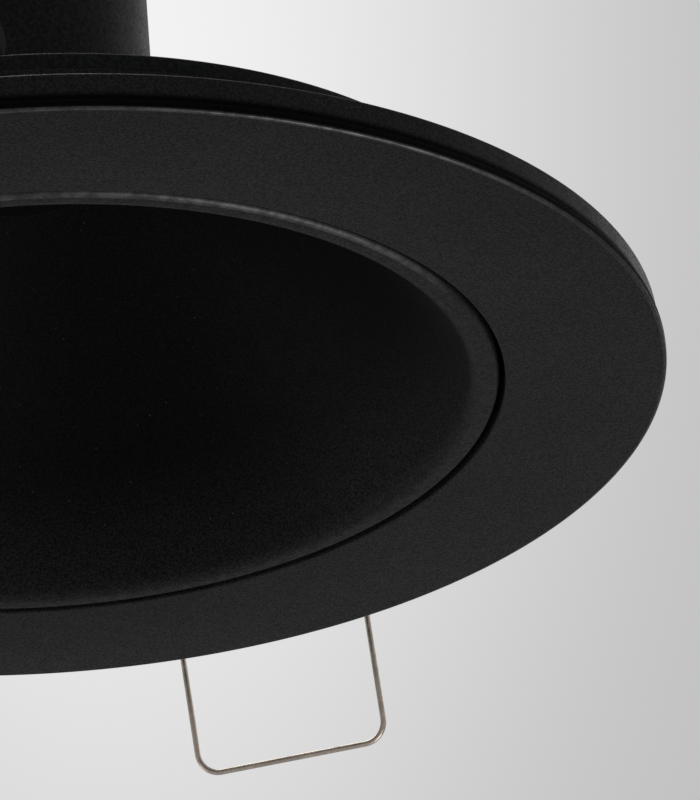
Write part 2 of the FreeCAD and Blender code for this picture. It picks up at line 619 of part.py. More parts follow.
def terminal_screws():
    clamp_top = WEB_TOP + CLAMP_HEIGHT + CLAMP_OUTER
    head_top = WEB_TOP + BLOCK_HEIGHT - TERMINAL_SCREW_SINK
    screws = []
    for y in (-POLE_OFFSET, POLE_OFFSET):
        head = disc(M2_HEAD_RADIUS, clamp_top, head_top - clamp_top, 0, y)
        shank_z = clamp_top - CLAMP_OUTER + CLAMP_BORE / 2
        shank = disc(M2_RADIUS, shank_z, clamp_top - shank_z, 0, y)
        slot = block(DRIVE_WIDTH, 2 * M2_HEAD_RADIUS, head_top - DRIVE_DEPTH, DRIVE_DEPTH, 0, y)
        screws.append(head.fuse(shank).cut(slot).removeSplitter())
    return Part.makeCompound(screws)


# --- rear cap

def rear_cap():
    body = disc(CAN_RADIUS, CAP_UNDERSIDE, CAP_THICKNESS)
    body = body.makeFillet(CAP_EDGE_ROUND, circle_edges(body, CAN_RADIUS, CAP_TOP))
    body = body.cut(thread_hole(0, 0, CAP_TOP, CAP_THICKNESS, GLAND_THREAD_RADIUS))
    for x, y in CAP_SCREWS:
        body = body.cut(sunk_hole(x, y, CAP_TOP, CAP_THICKNESS))
    return body


def cap_seal():
    outer = (CHAMBER_RADIUS + CAN_RADIUS + CAP_SEAL_WIDTH) / 2
    return ring(outer, outer - CAP_SEAL_WIDTH, CAN_TOP, CAP_SEAL_THICKNESS)


def cap_screws():
    return Part.makeCompound([sunk_screw(x, y, CAP_TOP, CAP_SCREW_LENGTH) for x, y in CAP_SCREWS])


# --- cable gland

def gland_body():
    tail = GLAND_TAIL_PROUD + LOCKNUT_HEIGHT + CAP_THICKNESS + WASHER_THICKNESS
    foot = GLAND_SEAT - tail
    body = disc(GLAND_THREAD_RADIUS, foot, GLAND_TOP - foot)
    body = body.fuse(hexagon(GLAND_HEX, GLAND_SEAT, GLAND_HEX_HEIGHT))
    body = body.cut(disc(GLAND_BORE, foot, GLAND_TOP - foot))
    socket_radius = GLAND_SOCKET + THREAD_FIT
    return body.cut(disc(socket_radius, GLAND_TOP - GLAND_SOCKET_DEPTH, GLAND_SOCKET_DEPTH))


def gland_washer():
    inner = GLAND_THREAD_RADIUS + THREAD_FIT
    return ring(inner + WASHER_WIDTH, inner, CAP_TOP, WASHER_THICKNESS)


def gland_locknut():
    nut = hexagon(GLAND_HEX, CAP_UNDERSIDE - LOCKNUT_HEIGHT, LOCKNUT_HEIGHT)
    return nut.cut(thread_hole(0, 0, CAP_UNDERSIDE, LOCKNUT_HEIGHT, GLAND_THREAD_RADIUS))


def gland_insert():
    """Rubber sleeve that closes on the cable, bored for it."""
    length = GLAND_SOCKET_DEPTH + INSERT_PROUD
    return ring(GLAND_SOCKET, INSERT_BORE, GLAND_TOP - GLAND_SOCKET_DEPTH, length)


def gland_nut():
    base = GLAND_HEX_TOP + NUT_SEAT_GAP
    shoulder = base + NUT_HEX_HEIGHT
    inner_top = GLAND_TOP + INSERT_PROUD
    top = inner_top + NUT_TOP_WALL
    crown = Part.makeCone(GLAND_HEX / 2, NUT_TOP_RADIUS, top - shoulder, V(0, 0, shoulder))
    body = hexagon(GLAND_HEX, base, NUT_HEX_HEIGHT).fuse(crown)
    body = body.cut(disc(GLAND_THREAD_RADIUS + THREAD_FIT, base, inner_top - base))
    return body.cut(disc(NUT_MOUTH, base, top - base)).removeSplitter()


# --- clip brackets, at the front (+Y); the rear ones are turned half a turn about Z

def clip_bracket():
    """Pressed U: a floor on the flange, two cheeks that carry the pin, a rib under each tail."""
    depth = BRACKET_REACH - BRACKET_INNER
    middle = (BRACKET_REACH + BRACKET_INNER) / 2
    body = block(2 * CHEEK_OUTER, depth, FLANGE_TOP, BRACKET_SHEET, 0, middle)
    cheek_height = PIVOT_Z - FLANGE_TOP
    for side in (-1, 1):
        x = side * (CHEEK_INNER + BRACKET_SHEET / 2)
        cheek = block(BRACKET_SHEET, 2 * CHEEK_RADIUS, FLANGE_TOP, cheek_height, x, PIVOT_REACH)
        start = V(x - BRACKET_SHEET / 2, PIVOT_REACH, PIVOT_Z)
        body = body.fuse(cheek.fuse(Part.makeCylinder(CHEEK_RADIUS, BRACKET_SHEET, start, X_AXIS)))
        body = body.cut(Part.makeCylinder(PIN_RADIUS + RUNNING_FIT, BRACKET_SHEET, start, X_AXIS))
        rib_y = PIVOT_REACH - TAIL_LENGTH + TAIL_REST_LENGTH / 2
        body = body.fuse(block(TAIL_REST_WIDTH, TAIL_REST_LENGTH, BRACKET_FLOOR, COIL_FLOOR_GAP,
                               side * COILS_START, rib_y))
    for x in (-RIVET_OFFSET, RIVET_OFFSET):
        y = BRACKET_INNER + RIVET_INSET
        body = body.cut(disc(RIVET_RADIUS, FLANGE_TOP, BRACKET_SHEET, x, y))
    return body.removeSplitter()


def bracket_rivets():
    """Blind rivets: a low domed head on the bracket and a bulb under the flange."""
    head_sphere = (RIVET_HEAD_RADIUS ** 2 + RIVET_HEAD_HEIGHT ** 2) / (2 * RIVET_HEAD_HEIGHT)
    top = BRACKET_FLOOR + RIVET_HEAD_HEIGHT
    rise = on_circle(rz(0, top - head_sphere), head_sphere,
                     90 - math.degrees(math.asin(RIVET_HEAD_RADIUS / head_sphere)) / 2)
    head = arc(rz(RIVET_HEAD_RADIUS, BRACKET_FLOOR), rise, rz(0, top))
    points = [rz(0, top), rz(0, COLLAR_HEIGHT - RIVET_TAIL_HEIGHT),
              rz(RIVET_TAIL_RADIUS, COLLAR_HEIGHT - RIVET_TAIL_HEIGHT),
              rz(RIVET_TAIL_RADIUS, COLLAR_HEIGHT), rz(RIVET_RADIUS, COLLAR_HEIGHT),
              rz(RIVET_RADIUS, BRACKET_FLOOR), rz(RIVET_HEAD_RADIUS, BRACKET_FLOOR)]
    rivet = revolve([head] + [line(a, b) for a, b in zip(points, points[1:])])
    rivets = []
    for side in (-1, 1):
        for x in (-RIVET_OFFSET, RIVET_OFFSET):
            placed = rivet.copy()
            placed.translate(V(x, side * (BRACKET_INNER + RIVET_INSET), 0))
            rivets.append(placed)
    return Part.makeCompound(rivets)


def clip_pin():
    """Pin through both cheeks, headed at both ends."""
    start = V(-CHEEK_OUTER - PIN_HEAD_THICKNESS, PIVOT_REACH, PIVOT_Z)
    length = 2 * (CHEEK_OUTER + PIN_HEAD_THICKNESS)
    body = Part.makeCylinder(PIN_RADIUS, length, start, X_AXIS)
    body = body.fuse(Part.makeCylinder(PIN_HEAD_RADIUS, PIN_HEAD_THICKNESS, start, X_AXIS))
    far = V(CHEEK_OUTER, PIVOT_REACH, PIVOT_Z)
    body = body.fuse(Part.makeCylinder(PIN_HEAD_RADIUS, PIN_HEAD_THICKNESS, far, X_AXIS))
    return body.removeSplitter()


# --- torsion springs

def coil(turns, first_x, slope_degrees):
    """Turns of wire about the pin, advancing along +X. The last one ends under the pin, heading
    outward along the given slope. Returns the solid with its first and last points."""
    slope = math.radians(slope_degrees)
    radial = V(0, math.sin(slope), -math.cos(slope))
    heading = V(0, math.cos(slope), math.sin(slope))
    helix = Part.makeHelix(COIL_PITCH, turns * COIL_PITCH, COIL_RADIUS)
    frame = FreeCAD.Matrix(radial.x, heading.x, 1, first_x,
                           radial.y, heading.y, 0, PIVOT_REACH,
                           radial.z, heading.z, 0, PIVOT_Z,
                           0, 0, 0, 1)
    path = Part.Wire([edge.transformed(frame) for edge in helix.Edges])
    first = path.Edges[0]
    last = path.Edges[-1]
    start = first.valueAt(first.FirstParameter)
    end = last.valueAt(last.LastParameter)
    start_heading = first.tangentAt(first.FirstParameter)
    section = Part.Wire([Part.Circle(start, start_heading, WIRE_RADIUS).toShape()])
    return path.makePipeShell([section], True, True), start, end


def both_sides(shape):
    return [shape, shape.mirror(ORIGIN, X_AXIS)]


def spring_coils():
    """The anchored turns on both sides of the pin, each with a tail along the bracket's floor."""
    turns, start, _ = coil(COIL_TURNS, COILS_START, 0.0)
    tail = Part.makeCylinder(WIRE_RADIUS, TAIL_LENGTH, start, V(0, -1, 0))
    return Part.makeCompound(both_sides(turns.fuse(tail).removeSplitter()))


def arm_bend():
    """Where the line of the legs meets the line of the foot."""
    rise = BEND_Z - CROSS_BAR_Z
    return V(0, CROSS_BAR_REACH - rise / math.tan(math.radians(FOOT_ANGLE)), BEND_Z)


def arm_slope():
    """Slope of the legs, in degrees, so that they leave the coil tangentially and meet the bend."""
    bend = arm_bend()
    across = bend.y - PIVOT_REACH
    up = bend.z - PIVOT_Z
    to_bend = math.degrees(math.atan2(up, across))
    return to_bend + math.degrees(math.asin(COIL_RADIUS / math.hypot(across, up)))


def bent_wire(points, radii):
    """A round wire along straight runs joined by arcs, with one radius for each inner point."""
    edges = []
    at = points[0]
    for before, corner, after, radius in zip(points, points[1:], points[2:], radii):
        back = (before - corner).normalize()
        ahead = (after - corner).normalize()
        half = back.getAngle(ahead) / 2
        trim = radius / math.tan(half)
        middle_way = (back + ahead).normalize()
        middle = corner + middle_way * (radius / math.sin(half) - radius)
        edges.append(line(at, corner + back * trim))
        edges.append(arc(corner + back * trim, middle, corner + ahead * trim))
        at = corner + ahead * trim
    edges.append(line(at, points[-1]))
    heading = (points[1] - points[0]).normalize()
    section = Part.Wire([Part.Circle(points[0], heading, WIRE_RADIUS).toShape()])
    return Part.Wire(edges).makePipeShell([section], True, True)


def spring_arm():
    """The turning end of the spring: one turn on each side and the U-shaped loop between them."""
    turn, _, leg_start = coil(1, EYE_START, arm_slope())
    bend = arm_bend()
    right = [leg_start, V(EYE_END, bend.y, bend.z), V(EYE_END, CROSS_BAR_REACH, CROSS_BAR_Z)]
    left = [V(-p.x, p.y, p.z) for p in reversed(right)]
    radii = [BEND_RADIUS, LOOP_CORNER_RADIUS, LOOP_CORNER_RADIUS, BEND_RADIUS]
    body = bent_wire(right + left, radii)
    join = Part.makeSphere(WIRE_RADIUS + JOIN_SWELL, leg_start)
    for half_turn in both_sides(turn.fuse(join)):
        body = body.fuse(half_turn)
    return body.removeSplitter()


def rear(shape):
    turned_round = shape.copy()
    turned_round.rotate(ORIGIN, Z_AXIS, 180)
    return turned_round


def main():
    bracket = clip_bracket()
    pin = clip_pin()
    coils = spring_coils()
    arm = spring_arm()
    nodes = {
        "trim_ring": trim_ring(),
        "soffit_gasket": soffit_gasket(),
        "housing_seal": housing_seal(),
        "trim_screws": trim_screws(),
        "baffle_cone": baffle_cone(),
        "rear_housing": rear_housing(),
        "lens_retainer": lens_retainer(),
        "lens_glass": lens_glass(),
        "lens_seal": lens_seal(),
        "reflector": reflector(),
        "thermal_pad": thermal_pad(),
        "led_board": led_board(),
        "led_emitter": led_emitter(),
        "led_holder": led_holder(),
        "led_screws": led_screws(),
        "lead_positive": lead(LEADS[1]),
        "lead_negative": lead(LEADS[0]),
        "terminal_block": terminal_block(),
        "terminal_clamps": terminal_clamps(),
        "terminal_screws": terminal_screws(),
        "rear_cap": rear_cap(),
        "cap_seal": cap_seal(),
        "cap_screws": cap_screws(),
        "gland_body": gland_body(),
        "gland_washer": gland_washer(),
        "gland_locknut": gland_locknut(),
        "gland_insert": gland_insert(),
        "gland_nut": gland_nut(),
        "bracket_rivets": bracket_rivets(),
        "clip_bracket_front": bracket,
        "clip_bracket_rear": rear(bracket),
        "clip_pin_front": pin,
        "clip_pin_rear": rear(pin),
        "spring_coils_front": coils,
        "spring_coils_rear": rear(coils),
        "spring_arm_front": arm,
        "spring_arm_rear": rear(arm),
    }
    os.makedirs("parts", exist_ok=True)
    for name, shape in nodes.items():
        shape.exportStep("parts/" + name + ".step")


main()
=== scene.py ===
"""Recessed soffit downlight with two wire spring clips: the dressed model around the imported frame."""
import math
from collections import namedtuple

import bmesh
import bpy
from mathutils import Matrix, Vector


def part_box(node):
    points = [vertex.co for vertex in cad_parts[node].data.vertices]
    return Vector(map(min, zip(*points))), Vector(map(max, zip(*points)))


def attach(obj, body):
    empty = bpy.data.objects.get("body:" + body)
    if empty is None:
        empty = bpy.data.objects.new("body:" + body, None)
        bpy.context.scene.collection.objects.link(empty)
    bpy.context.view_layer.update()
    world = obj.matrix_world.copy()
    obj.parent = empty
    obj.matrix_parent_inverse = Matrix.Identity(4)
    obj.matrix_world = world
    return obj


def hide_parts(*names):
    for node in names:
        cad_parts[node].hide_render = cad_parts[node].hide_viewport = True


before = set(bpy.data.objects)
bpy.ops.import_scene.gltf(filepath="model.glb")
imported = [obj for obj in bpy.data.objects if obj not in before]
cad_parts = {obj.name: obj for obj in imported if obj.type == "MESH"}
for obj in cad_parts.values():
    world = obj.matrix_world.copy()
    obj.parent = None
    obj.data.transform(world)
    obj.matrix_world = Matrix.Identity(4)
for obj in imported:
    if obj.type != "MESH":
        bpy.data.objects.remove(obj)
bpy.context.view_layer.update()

bl_info = {
    "name": "Soffit downlight",
    "version": (1, 0, 0),
    "blender": (4, 5, 0),
    "location": "3D View > Sidebar > Downlight",
    "description": "Builds the downlight's pieces, finishes and stage around its frame",
    "category": "Add Mesh",
}

MM = 0.001
TURN = 2 * math.pi
MERGE = 1e-6
CHORD_GAP = 0.004  # how far a straight run may leave its arc, in millimetres
LARGE_STEPS = 240
SMALL_STEPS = 72
HOLE_STEPS = 48
SMOOTH_ANGLE = math.radians(32)
WIRE_SMOOTH_ANGLE = math.radians(50)


def low(node, axis):
    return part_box(node)[0]["xyz".index(axis)]


def high(node, axis):
    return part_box(node)[1]["xyz".index(axis)]


def heights(node):
    """The lowest and highest z of a node, in millimetres."""
    return low(node, "z") / MM, high(node, "z") / MM


def tone(red, green, blue):
    """A display colour, 0 to 255, as the linear colour that shaders take."""
    return tuple(((c / 255 + 0.055) / 1.055) ** 2.4 if c > 10 else c / 3295 for c in (red, green, blue))


def opaque(colour):
    return (*colour, 1.0)


# --- shader maths and finishes

EDGE_SOFT = 0.0001
BEVEL_SAMPLES = 6
WORN_RANGE = (0.995, 0.86)  # agreement of the two normals where wear starts and where it is full


class Reading:
    """A value in a shader. Python's operators on it add Math nodes."""

    def __init__(self, finish, socket):
        self.finish = finish
        self.socket = socket

    def maths(self, operation, *values):
        return self.finish.node("Math", {"operation": operation}, dict(enumerate(values)))

    def __add__(self, other):
        return self.maths("ADD", self, other)

    def __sub__(self, other):
        return self.maths("SUBTRACT", self, other)

    def __rsub__(self, other):
        return self.maths("SUBTRACT", other, self)

    def __mul__(self, other):
        return self.maths("MULTIPLY", self, other)

    def __pow__(self, other):
        return self.maths("POWER", self, other)

    __radd__ = __add__


class Finish:
    """A material, or the world, while its nodes are added."""

    def __init__(self, owner):
        owner.use_nodes = True
        self.tree = owner.node_tree
        self.tree.nodes.clear()

    def node(self, kind, settings=None, sockets=None, output=0):
        """Adds one node. Its settings go in first, then the values or links of its sockets."""
        made = self.tree.nodes.new("ShaderNode" + kind)
        for name, value in (settings or {}).items():
            setattr(made, name, value)
        for name, value in (sockets or {}).items():
            if isinstance(value, Reading):
                self.tree.links.new(value.socket, made.inputs[name])
            else:
                made.inputs[name].default_value = value
        return Reading(self, made.outputs[output])

    def place(self):
        return self.node("TexCoord", output="Object")

    def axis(self, name):
        return self.node("SeparateXYZ", sockets={0: self.place()}, output="XYZ".index(name))

    def radius(self):
        """Distance from the light's axis."""
        flat = self.node("VectorMath", {"operation": "MULTIPLY"}, {0: self.place(), 1: (1, 1, 0)})
        return self.node("VectorMath", {"operation": "LENGTH"}, {0: flat}, output="Value")

    def stretched(self, x, y, z):
        """Object coordinates multiplied along each axis."""
        return self.node("VectorMath", {"operation": "MULTIPLY"}, {0: self.place(), 1: (x, y, z)})

    def noise(self, size, detail=2.0, at=None, roughness=0.5):
        sockets = {"Vector": at or self.place(), "Scale": 1 / size, "Detail": detail, "Roughness": roughness}
        return self.node("TexNoise", sockets=sockets)

    def cells(self, size, feature="F1", randomness=1.0):
        sockets = {"Vector": self.place(), "Scale": 1 / size, "Randomness": randomness}
        return self.node("TexVoronoi", {"feature": feature}, sockets)

    def ramp(self, value, start, end, to_start=0.0, to_end=1.0):
        """Maps start..end of a value to to_start..to_end, smoothly and clamped."""
        return self.node("MapRange", {"interpolation_type": "SMOOTHSTEP"},
                         {0: value, 1: start, 2: end, 3: to_start, 4: to_end})

    def past(self, value, edge, soft=EDGE_SOFT):
        """1 where a value is over an edge, 0 where it is under it."""
        return self.ramp(value, edge - soft, edge + soft)

    def short_of(self, value, edge, soft=EDGE_SOFT):
        return self.ramp(value, edge + soft, edge - soft)

    def mix(self, first, second, factor):
        return self.node("Mix", {"data_type": "RGBA"}, {0: factor, 6: first, 7: second}, output=2)

    def tint(self, colour, value):
        """A colour multiplied by a value."""
        return self.node("VectorMath", {"operation": "SCALE"}, {0: colour, "Scale": value})

    def edges(self, width):
        """1 on worn edges: where a bevelled normal leaves the true one."""
        soft = self.node("Bevel", {"samples": BEVEL_SAMPLES}, {"Radius": width})
        true = self.node("NewGeometry", output="Normal")
        same = self.node("VectorMath", {"operation": "DOT_PRODUCT"}, {0: soft, 1: true}, output="Value")
        return self.ramp(same, *WORN_RANGE)

    def bump(self, height, depth):
        return self.node("Bump", sockets={"Height": height, "Distance": depth, "Strength": 1.0})

    def surface(self, **sockets):
        """The shader itself. Names are its sockets with _ for each space."""
        named = {name.replace("_", " ").replace("Ior", "IOR"): value for name, value in sockets.items()}
        self.output(self.node("BsdfPrincipled", sockets=named))

    def output(self, shader, kind="Material"):
        made = self.tree.nodes.new("ShaderNodeOutput" + kind)
        self.tree.links.new(shader.socket, made.inputs["Surface"])


def finish(slot):
    return Finish(bpy.data.materials[slot])


# Where a coat has drawn to an edge and dried glossier: outside the least radius, between two
# heights, with its weight and how softly it ends.
Bead = namedtuple("Bead", "least lowest highest weight soft thinning", defaults=[None])

# A ring cures hanging from one side, so a bead may run thin across Y.
Thinning = namedtuple("Thinning", "whole_y thin_y whole_share thin_share")

# Painted shade on the step behind the front edge: outside the least radius and above the lowest z, the colour
# is darkened and the coat dulled, as the shade of the edge falls there. The shade fades out between the last
# two heights.
PaintedStepShade = namedtuple("PaintedStepShade", "least lowest thin_up_to whole_from")

# Painted shade and light that change with the radius: the colour is darkened towards the inner radius, where
# shade falls deep in a bowl, and lightened towards the outer, where light reaches its lip.
Fade = namedtuple("Fade", "inner_radius outer_radius inner_shade outer_shade")


def powder_coat(slot, colour, grain, gloss, specular=0.055, ior=1.5, mottle=(0.5, 1.6), beads=(),
                bead_gloss=0.28, thin=None, radial_shade=None):
    """Cured powder: a fine orange peel over a coarser flow, pinhead specks and beads, and where asked a
    painted shade on a step or painted shade and light across a bowl.
    """
    pinhead = opaque(tone(74, 74, 74))
    worn = opaque(tone(58, 58, 57))
    f = finish(slot)
    peel = f.noise(grain, 3.0)
    flow = f.noise(grain * 9, 2.0)
    patch = f.noise(0.021, 3.0)
    speck = f.ramp(f.cells(0.0007), 0.16, 0.08) * f.ramp(f.noise(0.0016), 0.6, 0.68)
    rubbed = f.edges(0.0004) * f.ramp(f.noise(0.0009, 4.0), 0.5, 0.66)
    shade = f.ramp(peel, 0.34, 0.66, *mottle) * f.ramp(patch, 0.3, 0.7, 0.93, 1.07)
    # Painted shade and light: darker deep in a bowl, lighter towards its lip.
    if radial_shade:
        shade = shade * f.ramp(f.radius(), *radial_shade)
    base = f.mix(f.tint(colour, shade), pinhead, speck * 0.6)
    base = f.mix(base, worn, rubbed * 0.35)
    rough = f.ramp(peel, 0.25, 0.75, gloss + 0.07, gloss - 0.05) + f.ramp(flow, 0.3, 0.7, 0.0, 0.04)
    # Painted shade on the step behind the front edge: a darker colour and a duller coat there.
    if thin:
        step_shade_mask = (f.past(f.radius(), thin.least) * f.past(f.axis("Z"), thin.lowest)
                * f.ramp(f.axis("Z"), thin.whole_from, thin.thin_up_to))
        base = f.tint(base, 1 - step_shade_mask * 0.9)
        rough = rough + step_shade_mask * 0.35
    drawn = 0.0
    for bead in beads:
        full = (f.past(f.radius(), bead.least, bead.soft)
                * f.past(f.axis("Z"), bead.lowest, bead.soft)
                * f.short_of(f.axis("Z"), bead.highest, bead.soft)
                * f.ramp(f.noise(0.0014, 3.0), 0.35, 0.65, 0.5 * bead.weight, bead.weight))
        if bead.thinning:
            full = full * f.ramp(f.axis("Y"), *bead.thinning)
        drawn = drawn + full
    rough = rough - drawn * 0.15
    height = peel * 0.55 + flow * 0.8 + speck * 0.5
    f.surface(Base_Color=base, Roughness=rough, Specular_IOR_Level=specular, IOR=ior, Coat_Weight=drawn,
              Coat_Roughness=bead_gloss, Normal=f.bump(height, 0.00006))


def moulded(slot, colour, gloss, mottle=0.1):
    """Moulded plastic: a fine eroded grain, slight flow mottle and scuffed edges."""
    f = finish(slot)
    fine = f.noise(0.00035, 3.0)
    flow = f.noise(0.004, 2.0)
    scuffed = f.edges(0.0003) * f.ramp(f.noise(0.0018, 3.0), 0.45, 0.62)
    shade = f.ramp(flow, 0.3, 0.7, 1 - mottle, 1 + mottle) * f.ramp(fine, 0.3, 0.7, 0.95, 1.05)
    base = f.tint(colour, shade)
    base = f.mix(base, opaque(tuple(min(1, c * 1.6 + 0.02) for c in colour)), scuffed * 0.6)
    rough = f.ramp(fine, 0.25, 0.75, gloss - 0.06, gloss + 0.08)
    f.surface(Base_Color=base, Roughness=rough, Specular_IOR_Level=0.4, Normal=f.bump(fine + flow, 0.000018))


def rubber(slot, colour, pore, depth, gloss):
    """Rubber: open pores of one size, a dusty bloom and a slightly shiny skin between them."""
    f = finish(slot)
    hole = f.ramp(f.cells(pore), 0.36, 0.1)
    small = f.ramp(f.cells(pore * 0.45), 0.34, 0.12)
    bloom = f.noise(0.005, 4.0)
    base = f.tint(colour, f.ramp(bloom, 0.3, 0.7, 0.85, 1.25) * (1 - hole * 0.55) * (1 - small * 0.25))
    rough = f.ramp(bloom, 0.3, 0.7, gloss - 0.08, gloss + 0.1)
    height = 1 - hole * 0.8 - small * 0.4 + f.noise(pore * 0.3) * 0.3
    f.surface(Base_Color=base, Roughness=rough, Specular_IOR_Level=0.25, Normal=f.bump(height, depth))


def plated(slot, colour, gloss, grain, brushed=(1, 1, 1), stain=0.25, black_from=None):
    """Plated or bare metal: fine rolling or drawing lines, soft patches and brighter rubbed edges.
    Farther out along X than black_from it is painted black, as the pins' riveted ends are."""
    f = finish(slot)
    lines = f.noise(grain, 4.0, f.stretched(*brushed), 0.65)
    patch = f.noise(0.0045, 3.0)
    dull = f.ramp(f.noise(0.0022, 5.0, roughness=0.6), 0.5, 0.72)
    rubbed = f.edges(0.00025)
    base = f.tint(colour, f.ramp(lines, 0.3, 0.7, 0.86, 1.1) * f.ramp(patch, 0.3, 0.7, 0.9, 1.08))
    base = f.mix(base, opaque(tuple(c * 0.55 for c in colour)), dull * stain)
    base = f.mix(base, opaque(tuple(min(1, c * 1.25) for c in colour)), rubbed * 0.7)
    rough = f.ramp(lines, 0.3, 0.7, gloss - 0.05, gloss + 0.08) + dull * (stain * 0.4) - rubbed * 0.08
    if black_from:
        black = f.past(f.axis("X").maths("ABSOLUTE", f.axis("X")), black_from, 0.00003)
        base = f.mix(base, opaque(tone(24, 24, 25)), black * (1 - rubbed * 0.25))
        rough = rough + black * 0.6
    f.surface(Base_Color=base, Roughness=rough, Metallic=1.0, Normal=f.bump(lines + patch * 0.5, 0.000012))


def clear_glass(slot):
    """Toughened glass, very slightly diffusing, with a faint green body and a few dust marks."""
    f = finish(slot)
    dust = f.ramp(f.noise(0.0007, 4.0), 0.62, 0.72)
    rough = f.ramp(f.noise(0.003, 3.0), 0.3, 0.7, 0.09, 0.16) + dust * 0.25
    base = f.mix(opaque(tone(238, 246, 241)), opaque(tone(214, 222, 214)), dust)
    f.surface(Base_Color=base, Roughness=rough, Transmission_Weight=1.0, IOR=1.5,
              Normal=f.bump(f.noise(0.002, 2.0), 0.000006))


def bright_cone(slot):
    """Vacuum-metallised cone: mirror bright with a soft hammered facet."""
    f = finish(slot)
    facet = f.cells(0.0014, "SMOOTH_F1")
    rough = f.ramp(f.noise(0.0006, 3.0), 0.3, 0.7, 0.08, 0.16)
    base = f.tint(tone(232, 232, 234), f.ramp(facet, 0.1, 0.7, 0.94, 1.02))
    f.surface(Base_Color=base, Roughness=rough, Metallic=1.0, Normal=f.bump(facet, 0.00008))


def phosphor(slot):
    """Yellow phosphor gel over a grid of dies."""
    f = finish(slot)
    dies = f.cells(0.0012, "F1", randomness=0.15)
    grain = f.noise(0.00025, 4.0)
    base = f.mix(opaque(tone(232, 196, 62)), opaque(tone(214, 160, 36)), f.ramp(dies, 0.2, 0.5))
    base = f.mix(base, opaque(tone(244, 222, 122)), f.ramp(grain, 0.55, 0.75) * 0.5)
    f.surface(Base_Color=base, Roughness=f.ramp(grain, 0.3, 0.7, 0.28, 0.42), Coat_Weight=0.4,
              Normal=f.bump(grain + dies, 0.00002))


# --- sizes and colours that a user may change

def length(name, description, default):
    return bpy.props.FloatProperty(name=name, description=description, default=default, unit="LENGTH",
                                   precision=5)


def colour(name, description, default):
    return bpy.props.FloatVectorProperty(
        name=name, description=description, default=default, size=3, min=0, max=1, subtype="COLOR")


class DownlightSizes(bpy.types.PropertyGroup):
    """Sizes of the visible pieces. The outer ones come from the frame."""
    face_z: length("Face height", "Underside of the trim ring", low("trim_ring", "z"))
    trim_radius: length("Trim radius", "Outer radius of the trim ring", high("trim_ring", "x"))
    collar_radius: length("Collar radius", "Radius of the collar and of the housing's flange",
                          high("rear_housing", "x"))
    flange_top: length("Flange top", "Height of the housing flange's upper side",
                       low("clip_bracket_front", "z"))
    can_radius: length("Can radius", "Radius of the can and its cap", high("rear_cap", "x"))
    can_top: length("Can top", "Height where the can ends", high("rear_housing", "z"))
    wire_radius: length("Wire radius", "Radius of the spring wire", 0.4 * MM)
    coil_radius: length("Coil radius", "Radius of the coils, to the middle of the wire", 2.7 * MM)


class DownlightColours(bpy.types.PropertyGroup):
    """Colours of the finishes."""
    trim: colour("Trim", "Powder coat on the trim ring", tone(27, 27, 28))
    baffle: colour("Baffle", "Matte coat on the baffle", tone(14, 14, 14))
    casting: colour("Casting", "Powder coat on the housing", tone(16, 17, 17))
    wire: colour("Spring wire", "Drawn spring steel", tone(172, 161, 150))
    zinc: colour("Zinc", "Zinc plate on the clip brackets", tone(186, 190, 194))
    steel: colour("Screws", "Stainless screws and rivets", tone(190, 188, 184))
    sponge: colour("Gasket", "Sponge rubber", tone(52, 52, 53))
    nylon: colour("Gland", "Nylon of the cable gland", tone(34, 34, 36))
    floor: colour("Floor", "Studio floor", tone(214, 214, 213))


def sizes():
    return bpy.context.scene.downlight_sizes


def colours():
    return bpy.context.scene.downlight_colours


# --- modelling by hand: a primitive, shaped in edit mode

def add(kind, name, **settings):
    """Adds a primitive at its size and place, with its place in its mesh."""
    bpy.ops.object.select_all(action="DESELECT")
    getattr(bpy.ops.mesh, f"primitive_{kind}_add")(**settings)
    piece = bpy.context.object
    piece.name = name
    piece.data.name = name
    bpy.ops.object.transform_apply(location=True, rotation=True, scale=True)
    return piece


def pick(piece, test, kind="verts"):
    """In edit mode, selects the vertices, or the edges, whose middle passes the test."""
    bpy.ops.mesh.select_mode(type={"verts": "VERT", "edges": "EDGE"}[kind])
    bpy.ops.mesh.select_all(action="DESELECT")
    mesh = bmesh.from_edit_mesh(piece.data)
    for item in getattr(mesh, kind):
        middle = item.co if kind == "verts" else (item.verts[0].co + item.verts[1].co) / 2
        if test(middle):
            item.select_set(True)
    mesh.select_flush_mode()
    bmesh.update_edit_mesh(piece.data)


def edit():
    bpy.ops.object.mode_set(mode="EDIT")
    bpy.ops.mesh.select_mode(type="VERT")


def leave():
    bpy.ops.object.mode_set(mode="OBJECT")


def face_out():
    """In edit mode, turns the faces outwards."""
    bpy.ops.mesh.select_all(action="SELECT")
    bpy.ops.mesh.normals_make_consistent(inside=False)


def close_up():
    """In edit mode, merges what lies on one point and turns the faces outwards."""
    bpy.ops.mesh.select_all(action="SELECT")
    bpy.ops.mesh.remove_doubles(threshold=MERGE)
    bpy.ops.mesh.delete_loose(use_verts=True, use_edges=True, use_faces=False)
    face_out()


def arc_angle(centre, a, b):
    """The shorter way round from a to b, in radians, with +X towards +Z positive."""
    from_a = math.atan2(a[1] - centre[1], a[0] - centre[0])
    to_b = math.atan2(b[1] - centre[1], b[0] - centre[0])
    return (to_b - from_a + math.pi) % TURN - math.pi


def arc_runs(angle, radius):
    """How many straight runs keep within CHORD_GAP of an arc."""
    return max(2, math.ceil(abs(angle) / (2 * math.acos(1 - min(1, CHORD_GAP / radius)))))


def corner_turn(mesh, point):
    """Half the angle that an outline turns through at a point."""
    vertex = min(mesh.verts, key=lambda v: (v.co - point).length)
    back, ahead = (edge.other_vert(vertex).co - vertex.co for edge in vertex.link_edges)
    return (math.pi - back.angle(ahead)) / 2


